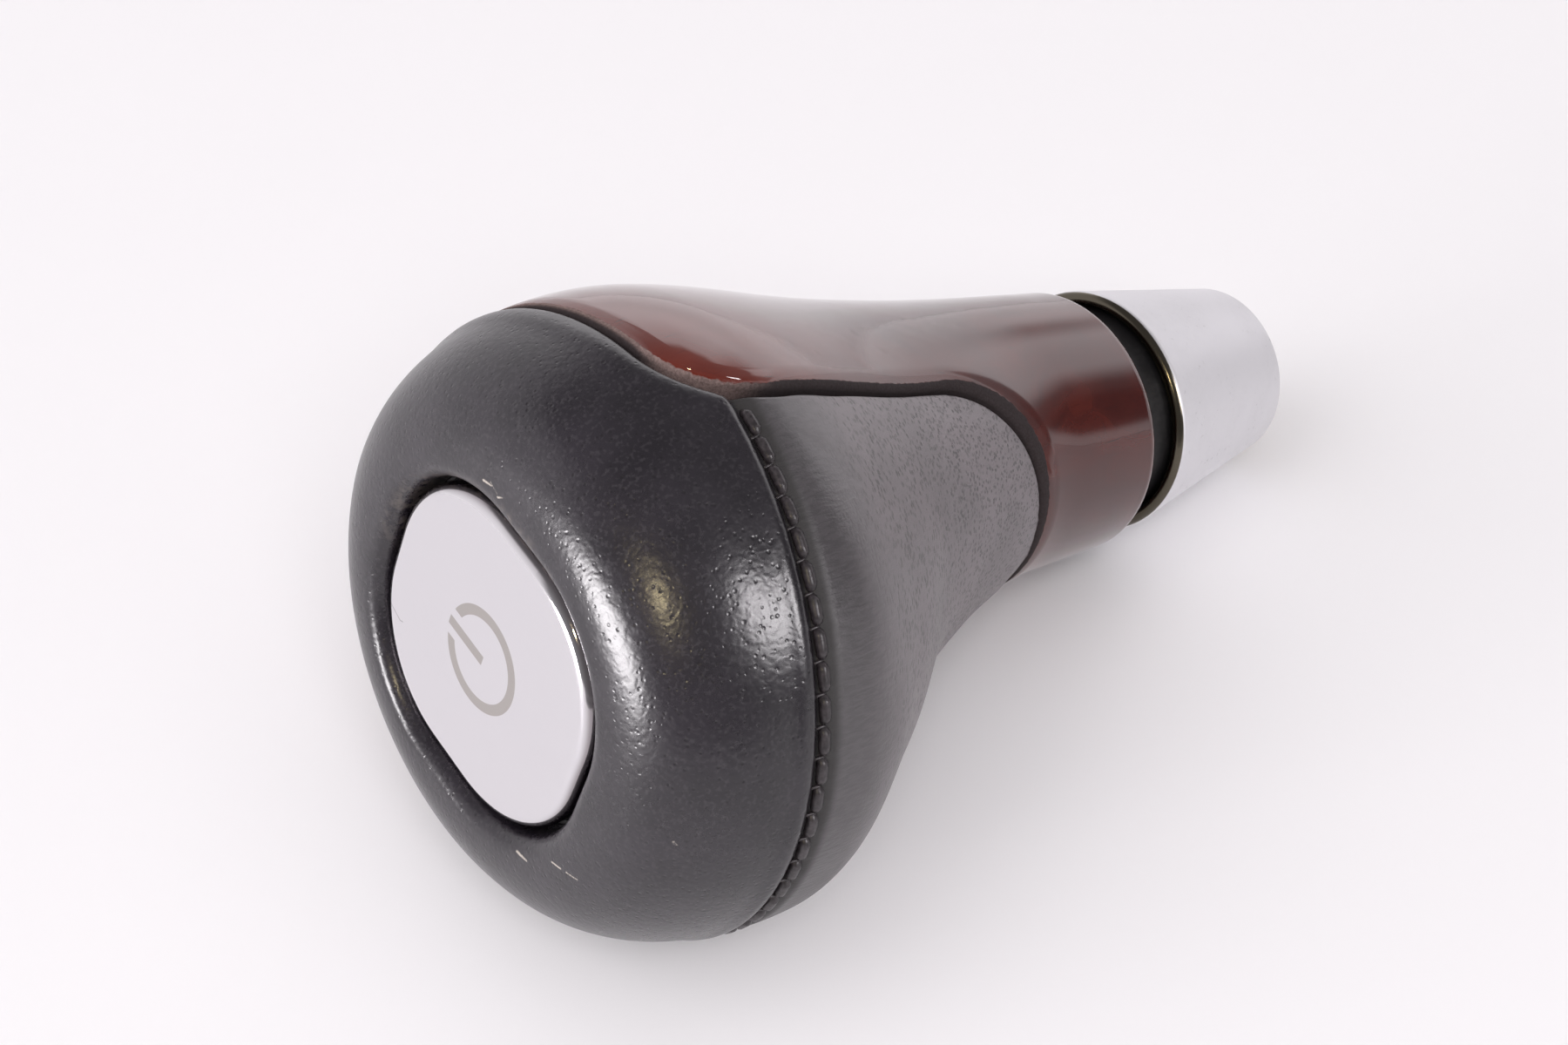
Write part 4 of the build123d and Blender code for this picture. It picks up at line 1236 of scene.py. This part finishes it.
def satin_chrome():
    """Satin plating with a polished lip painted dark as a painted reflection, a few smudges and specks."""
    material, tree, shader = start_material("satin_chrome", metallic=1.0)
    place = place_node(tree)
    lip_ends = ((SLEEVE_LIP - LIP_SOFTNESS) * MM, (SLEEVE_LIP + LIP_SOFTNESS) * MM)
    lip_band = ramp_node(tree, split_node(tree, place)[2], *lip_ends)
    handled = smudge_mask(tree, place, 110.0)
    specks = times(tree, handled, ramp_node(tree, noise_node(tree, place, 1500.0, 2.0), 0.65, 0.73))
    plating = lay_over(tree, PLATING, HANDLED_PLATING, handled, 0.25)
    marked = lay_over(tree, plating, SPECKED_PLATING, specks, 0.5)
    # Painted reflection of the dark gap and wood on the lip.
    wire(tree, mix_colours(tree, lip_band, marked, DARK_LIP_REFLECTION), shader["Base Color"])
    satin = times_plus(tree, handled, 0.05, 0.55)
    wire(tree, mix_values(tree, lip_band, satin, LIP_ROUGHNESS), shader["Roughness"])
    blasted = times(tree, noise_node(tree, place, 9000.0, 2.0), rest_of(tree, lip_band))
    wire_bump(tree, blasted, 0.006, shader["Normal"])
    return material


dress(satin_chrome(), "chrome_sleeve")

# %% [markdown]
# The button is polished all over, with faint wiping marks, and carries a plain power mark, a ring with a
# bar, printed in a warm grey. Its rolled edge is painted darker, a painted reflection of the dark leather
# round it. Print has hardly any thickness, so it isn't modelled: the distance from the button's axis draws
# the ring, and the place beside the middle line draws the bar.

# %% Polished chrome on the button
MARK_RADIUS = 4.6
MARK_STROKE = 0.55
MARK_SOFTNESS = 0.06
MARK_GAP = 1.5
BAR_MIDDLE = -2.5
BAR_HALF_LENGTH = 2.7
FACE_UP = 0.99
MIRROR = (0.74, 0.725, 0.75)
WIPED_MIRROR = (0.69, 0.675, 0.705)
# Painted reflection: the sideways-facing rolled edge is darkened as if it mirrored the dark leather.
EDGE_DARK_REFLECTION = (0.3, 0.275, 0.29)
WARM_PRINT = (0.4, 0.37, 0.345)
SCRATCHED_MIRROR = (0.2, 0.19, 0.2)
BUTTON_SCRATCHES = [
    ((6.2, -8.0, 105.4), (6.7, -6.0, 105.4), 0.07),
    ((6.7, -6.0, 105.4), (6.5, -5.6, 105.4), 0.06),
]


def power_mark(tree, place):
    """Mask of a ring that is open at the rear, with a bar in the opening."""
    spot, away = from_button(tree, place)
    stroke_ends = (MARK_STROKE * MM, (MARK_STROKE - MARK_SOFTNESS) * MM)
    off_ring = math_node(tree, "ABSOLUTE", math_node(tree, "SUBTRACT", away, MARK_RADIUS * MM))
    beside = math_node(tree, "ABSOLUTE", spot[0])
    in_gap = math_node(tree, "LESS_THAN", beside, MARK_GAP * MM)
    opening = times(tree, in_gap, math_node(tree, "LESS_THAN", spot[1], 0.0))
    ring = times(tree, ramp_node(tree, off_ring, *stroke_ends), rest_of(tree, opening))
    along_bar = math_node(tree, "COMPARE", spot[1], BAR_MIDDLE * MM, BAR_HALF_LENGTH * MM)
    bar = times(tree, ramp_node(tree, beside, *stroke_ends), along_bar)
    return math_node(tree, "MAXIMUM", ring, bar)


def polished_chrome():
    """Mirror plating with faint wiping marks, a printed power mark and a painted dark reflection on its
    rolled edge.
    """
    material, tree, shader = start_material("polished_chrome", metallic=1.0)
    place = place_node(tree)
    wiped = smudge_mask(tree, vector_node(tree, "MULTIPLY", place, (1.0, 0.4, 1.0)), 90.0)
    facing_up = split_node(tree, add_node(tree, "NewGeometry").outputs["Normal"])[2]
    on_face = math_node(tree, "GREATER_THAN", facing_up, FACE_UP)
    mark = times(tree, power_mark(tree, place), on_face)
    metal = lay_over(tree, MIRROR, WIPED_MIRROR, wiped, 0.2)
    # Painted reflection on the rolled edge.
    edged = mix_colours(tree, ramp_node(tree, facing_up, 0.96, 0.6), metal, EDGE_DARK_REFLECTION)
    printed = lay_over(tree, edged, WARM_PRINT, mark, 0.85)
    scratches = add_strokes(tree, place, BUTTON_SCRATCHES)
    wire(tree, lay_over(tree, printed, SCRATCHED_MIRROR, scratches, 0.7), shader["Base Color"])
    gloss = times_plus(tree, wiped, 0.05, 0.085)
    wire(tree, times_plus(tree, mark, 0.12, gloss), shader["Roughness"])
    return material


dress(polished_chrome(), "button_cap")

# %% [markdown]
# The rest is seen only from below, through the grooves or when the knob is taken apart: moulded black
# plastic, turned brass and steel, the switch's board, its silicone dome and its lead. Plain colours would
# do for hidden parts. Each still gets its own small structure, because a part in the library is looked at
# from every side, and one function serves all metals and another all mouldings.

# %% Plastic
PLASTIC = (0.009, 0.0085, 0.009)
DUSTY_PLASTIC = (0.03, 0.027, 0.026)


def moulded_plastic():
    """Black moulded plastic with a fine spark-eroded texture and some dust."""
    material, tree, shader = start_material("black_moulded_plastic", specular_ior_level=0.4)
    place = place_node(tree)
    dust = smudge_mask(tree, place, 200.0)
    wire(tree, lay_over(tree, PLASTIC, DUSTY_PLASTIC, dust, 0.4), shader["Base Color"])
    wire(tree, times_plus(tree, dust, 0.2, 0.42), shader["Roughness"])
    wire_bump(tree, noise_node(tree, place, 6000.0, 3.0, 0.6), 0.012, shader["Normal"])
    return material


dress(
    moulded_plastic(), "knob_core", "button_bezel", "button_slider", "switch_carrier", "switch_body",
    "switch_plunger", "lead_socket", "contact_block", "neck_ring", "locking_ring",
)

# %% Turned metals
BRASS = (0.78, 0.56, 0.27)
STAINED_BRASS = (0.48, 0.33, 0.16)
STEEL = (0.56, 0.56, 0.57)
STAINED_STEEL = (0.38, 0.37, 0.36)


def turned_metal(name, colour, stain, rough):
    """Metal with fine turning lines round its axis."""
    material, tree, shader = start_material(name, metallic=1.0)
    place = place_node(tree)
    stained = smudge_mask(tree, place, 180.0)
    wire(tree, lay_over(tree, colour, stain, stained, 0.6), shader["Base Color"])
    wire(tree, times_plus(tree, stained, 0.18, rough), shader["Roughness"])
    rings = noise_node(tree, vector_node(tree, "MULTIPLY", place, (0.08, 0.08, 1.0)), 6000.0, 2.0)
    wire_bump(tree, rings, 0.006, shader["Normal"])
    return material


dress(turned_metal("turned_brass", BRASS, STAINED_BRASS, 0.24), "lever_bush", "contact_pins")
steel = turned_metal("plated_steel", STEEL, STAINED_STEEL, 0.28)
dress(steel, "carrier_screws", "spring_washer", "retaining_ring")

# %% Board, silicone and lead
BOARD = (0.012, 0.075, 0.028)
BOARD_FLECK = (0.02, 0.11, 0.045)
SILICONE = (0.23, 0.23, 0.24)
SILICONE_FLECK = (0.29, 0.29, 0.3)
JACKET = (0.012, 0.012, 0.013)
JACKET_FLECK = (0.024, 0.024, 0.025)


def speckled(name, colour, fleck, scale, rough, **settings):
    """A plain moulding or laminate with flecks of a second tone and a matching relief."""
    material, tree, shader = start_material(name, **settings)
    flecks = ramp_node(tree, noise_node(tree, place_node(tree), scale, 4.0, 0.6), 0.4, 0.65)
    wire(tree, mix_colours(tree, flecks, colour, fleck), shader["Base Color"])
    wire(tree, times_plus(tree, flecks, 0.12, rough), shader["Roughness"])
    wire_bump(tree, flecks, 0.01, shader["Normal"])
    return material


dress(speckled("board_laminate", BOARD, BOARD_FLECK, 1400.0, 0.35), "circuit_board")
silicone = speckled("grey_silicone", SILICONE, SILICONE_FLECK, 900.0, 0.55, subsurface_weight=0.05)
silicone_dome.data.materials.append(silicone)
print("finish", silicone.name)
dress(speckled("lead_jacket", JACKET, JACKET_FLECK, 1800.0, 0.5), "switch_lead")

# %% [markdown]
# ## Table, camera and light
# The knob lies on a pale table, on its side, touching with its head and its sleeve. The model keeps its own
# upright frame, so the table is tilted instead: its upward direction, seen from the knob, is a named value,
# and the table is pushed up until it meets the knob. It can only be seen from above, so that views from
# underneath stay clear.

# %% Table
TABLE_UP = Vector((-0.951, -0.208, 0.230)).normalized()
TABLE_RADIUS = 0.6
TABLE_FADE = (0.35, 0.97 * TABLE_RADIUS)
TABLE_SEGMENTS = 96
TABLE_TONES = ((0.9, 0.895, 0.9), (0.925, 0.92, 0.925))


def lowest_on_table():
    """Lowest distance of the visible knob along the table's upward direction."""
    lowest = 1.0
    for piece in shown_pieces():
        places = np.empty(len(piece.data.vertices) * 3)
        piece.data.vertices.foreach_get("co", places)
        lowest = min(lowest, float((places.reshape(-1, 3) @ np.array(TABLE_UP)).min()))
    return lowest


def table_finish():
    """Pale matt surface that fades out far from the knob and is clear from below."""
    material, tree, shader = start_material("pale_table", specular_ior_level=0.25)
    geometry = add_node(tree, "NewGeometry").outputs
    mottle = noise_node(tree, geometry["Position"], 14.0, 3.0)
    wire(tree, mix_colours(tree, mottle, *TABLE_TONES), shader["Base Color"])
    wire(tree, ramp_node(tree, mottle, 0.2, 0.8, 0.45, 0.6), shader["Roughness"])
    off = measure_node(tree, "DISTANCE", geometry["Position"], table_centre)
    clear = math_node(tree, "MAXIMUM", ramp_node(tree, off, *TABLE_FADE), geometry["Backfacing"])
    hidden = add_node(tree, "BsdfTransparent").outputs[0]
    mixed = add_node(tree, "MixShader", {0: clear, 1: tree.nodes["Principled BSDF"].outputs[0], 2: hidden})
    wire(tree, mixed.outputs[0], tree.nodes["Material Output"].inputs["Surface"])
    return material


middle = (cad_box[0] + cad_box[1]) / 2
table_centre = middle + TABLE_UP * (lowest_on_table() - middle.dot(TABLE_UP))
table_turns = np.linspace(0, 2 * math.pi, TABLE_SEGMENTS, endpoint=False)
table_rim = np.stack([np.cos(table_turns), np.sin(table_turns), np.zeros_like(table_turns)], axis=-1)
table_mesh = bpy.data.meshes.new("table")
table_mesh.from_pydata((table_rim * TABLE_RADIUS).tolist(), [], [list(range(TABLE_SEGMENTS))])
table = bpy.data.objects.new("table", table_mesh)
bpy.context.scene.collection.objects.link(table)
table_tilt = TABLE_UP.to_track_quat("Z", "Y").to_matrix().to_4x4()
table.matrix_world = Matrix.Translation(table_centre) @ table_tilt
table_mesh.materials.append(table_finish())
table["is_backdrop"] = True
print("table meets the knob", round(lowest_on_table() / MM, 1), "mm along its upward direction")

# %% [markdown]
# The photo shows the lying knob from above, with its crown, its front and one side in view. A camera can be
# set by hand, but here its place and lens come from fitting the knob's outlines to the photo, so that model
# and photo can be laid over each other. The lens follows from the focal length in pixels and the picture's
# width.

# %% Camera
CAMERA_PLACE = Vector((-144.88, 98.85, 202.74)) * MM
CAMERA_TARGET = Vector((-2.08, 2.83, 69.34)) * MM
PICTURE_WIDTH = 1800
FOCAL_PIXELS = 2588.8
SENSOR_WIDTH = 36.0
NEAREST_SEEN = 0.005


def look(place, target):
    """Placement of a camera or lamp at a place, facing a target and level with the table."""
    back = (place - target).normalized()
    right = TABLE_UP.cross(back).normalized()
    turn = Matrix((right, back.cross(right), back)).transposed().to_4x4()
    return Matrix.Translation(place) @ turn


camera_data = bpy.data.cameras.new("camera")
camera_data.sensor_width = SENSOR_WIDTH
camera_data.lens = SENSOR_WIDTH * FOCAL_PIXELS / PICTURE_WIDTH
camera_data.clip_start = NEAREST_SEEN
camera = bpy.data.objects.new("camera", camera_data)
camera.matrix_world = look(CAMERA_PLACE, CAMERA_TARGET)
bpy.context.scene.collection.objects.link(camera)
bpy.context.scene.camera = camera
print("camera lens", round(camera_data.lens, 2), "mm")

# %% [markdown]
# The light is that of a plain studio: a bright window low on the left, a softer one on the right, a small
# warm lamp near the camera, and three wide soft lamps that only light the matt surfaces. The two windows
# and the warm lamp are what the chrome and the leather mirror. Each lamp is given by its direction over the
# table, so it stays with the table whichever way that is tilted, and by how bright it looks, so it can be
# made larger without looking brighter.

# %% Lamps
LAMP_DISTANCE = 3.0
LAMP_TINT = (1.0, 0.965, 0.99)
WARM_TINT = (1.0, 0.84, 0.5)
SIGHT = CAMERA_TARGET - CAMERA_PLACE
AWAY = (SIGHT - TABLE_UP * SIGHT.dot(TABLE_UP)).normalized()
RIGHTWARD = AWAY.cross(TABLE_UP)


def add_lamp(name, azimuth, elevation, size, radiance, colour=LAMP_TINT, mirrored=True, lighting=True):
    """An oval lamp at an azimuth, 0 away from the camera and 90 to the right, and an elevation."""
    turn = math.radians(azimuth)
    rise = math.radians(elevation)
    level = AWAY * math.cos(turn) + RIGHTWARD * math.sin(turn)
    place = middle + (level * math.cos(rise) + TABLE_UP * math.sin(rise)) * LAMP_DISTANCE
    lamp = bpy.data.lights.new(name, "AREA")
    lamp.shape = "ELLIPSE"
    lamp.size, lamp.size_y = size
    lamp.energy = radiance * math.pi * (math.pi / 4 * size[0] * size[1])
    lamp.color = colour
    holder = bpy.data.objects.new(name, lamp)
    holder.matrix_world = look(place, middle)
    holder.visible_glossy = mirrored
    holder.visible_diffuse = lighting
    bpy.context.scene.collection.objects.link(holder)


add_lamp("left_window", -120, -1, (1.4, 1.3), 26.0)
add_lamp("right_window", 128, 32, (0.75, 1.3), 19.0, lighting=False)
add_lamp("front_fill", 170, 45, (1.8, 1.8), 5.2, mirrored=False)
add_lamp("soft_key", -115, 38, (2.9, 2.9), 1.75, mirrored=False)
add_lamp("high_panel", 150, 80, (4.0, 4.0), 0.72, mirrored=False)
add_lamp("warm_lamp", -160, 40, (0.18, 0.24), 115.0, colour=WARM_TINT, lighting=False)

# %% [markdown]
# Lacquer and chrome show the room as much as the lamps: a pale wall behind draws the long sheen on the wood,
# two brighter panels stand on it, and a dark doorway opens on the right. Walls could be built as meshes, but
# they would shade the table. A world shader can show a room in reflections, give an even fill to matt
# surfaces and stay plain white for the camera.

# %% World
FILL = 0.3
SEEN_WHITE = 0.93
TABLE_GLOW = 1.15
ROOM = 0.26
LEFT_WALL = 0.95
REAR_WALL = 1.2
REAR_PANEL = 1.8
DOORWAY = 0.1
HORIZON = (0.0, 5.0)
ROOM_PATCHES = [
    (LEFT_WALL, (-105, -22), (-5, 42), 9, 9),
    (REAR_WALL, (-22, 64), (-6, 16), 6, 6),
    (REAR_PANEL, (-22, 22), (9, 30.7), 7, 2),
    (REAR_PANEL, (32, 65), (8, 29), 7, 4),
    (DOORWAY, (75, 108), (3, 40), 4, 4),
    (ROOM, (140, 200), (-9, 6), 8, 8),
    (ROOM, (-200, -150), (-9, 6), 8, 8),
]


def room_patch(tree, azimuth, elevation, across, upward, soft, soft_top):
    """Mask of a patch of the room between two azimuths and two elevations, with soft borders."""
    mask = ramp_node(tree, elevation, upward[1] + soft_top, upward[1] - soft_top)
    for value, place, way in ((azimuth, across[0], 1), (azimuth, across[1], -1), (elevation, upward[0], 1)):
        side = ramp_node(tree, value, place - way * soft, place + way * soft)
        mask = times(tree, mask, side)
    return mask


def light_room():
    """White for the camera, an even fill for matt surfaces, and a room in reflections."""
    world = bpy.data.worlds.new("room")
    bpy.context.scene.world = world
    world.use_nodes = True
    tree = world.node_tree
    direction = add_node(tree, "TexCoord").outputs["Generated"]
    ways = [measure_node(tree, "DOT_PRODUCT", direction, tuple(way)) for way in (TABLE_UP, RIGHTWARD, AWAY)]
    elevation = math_node(tree, "DEGREES", math_node(tree, "ARCSINE", ways[0]))
    azimuth = math_node(tree, "DEGREES", math_node(tree, "ARCTAN2", ways[1], ways[2]))
    mirrored = ramp_node(tree, elevation, *HORIZON, TABLE_GLOW, ROOM)
    for glow, *patch in ROOM_PATCHES:
        mask = room_patch(tree, azimuth, elevation, *patch)
        mirrored = mix_values(tree, mask, mirrored, glow)
    path = add_node(tree, "LightPath").outputs
    shiny = math_node(tree, "MAXIMUM", path["Is Glossy Ray"], path["Is Transmission Ray"])
    strength = mix_values(tree, shiny, FILL, mirrored)
    background = tree.nodes["Background"].inputs
    background["Color"].default_value = (*LAMP_TINT, 1)
    wire(tree, mix_values(tree, path["Is Camera Ray"], strength, SEEN_WHITE), background["Strength"])


light_room()
bpy.context.scene.view_settings.view_transform = "Standard"
print("world", bpy.context.scene.world.name)
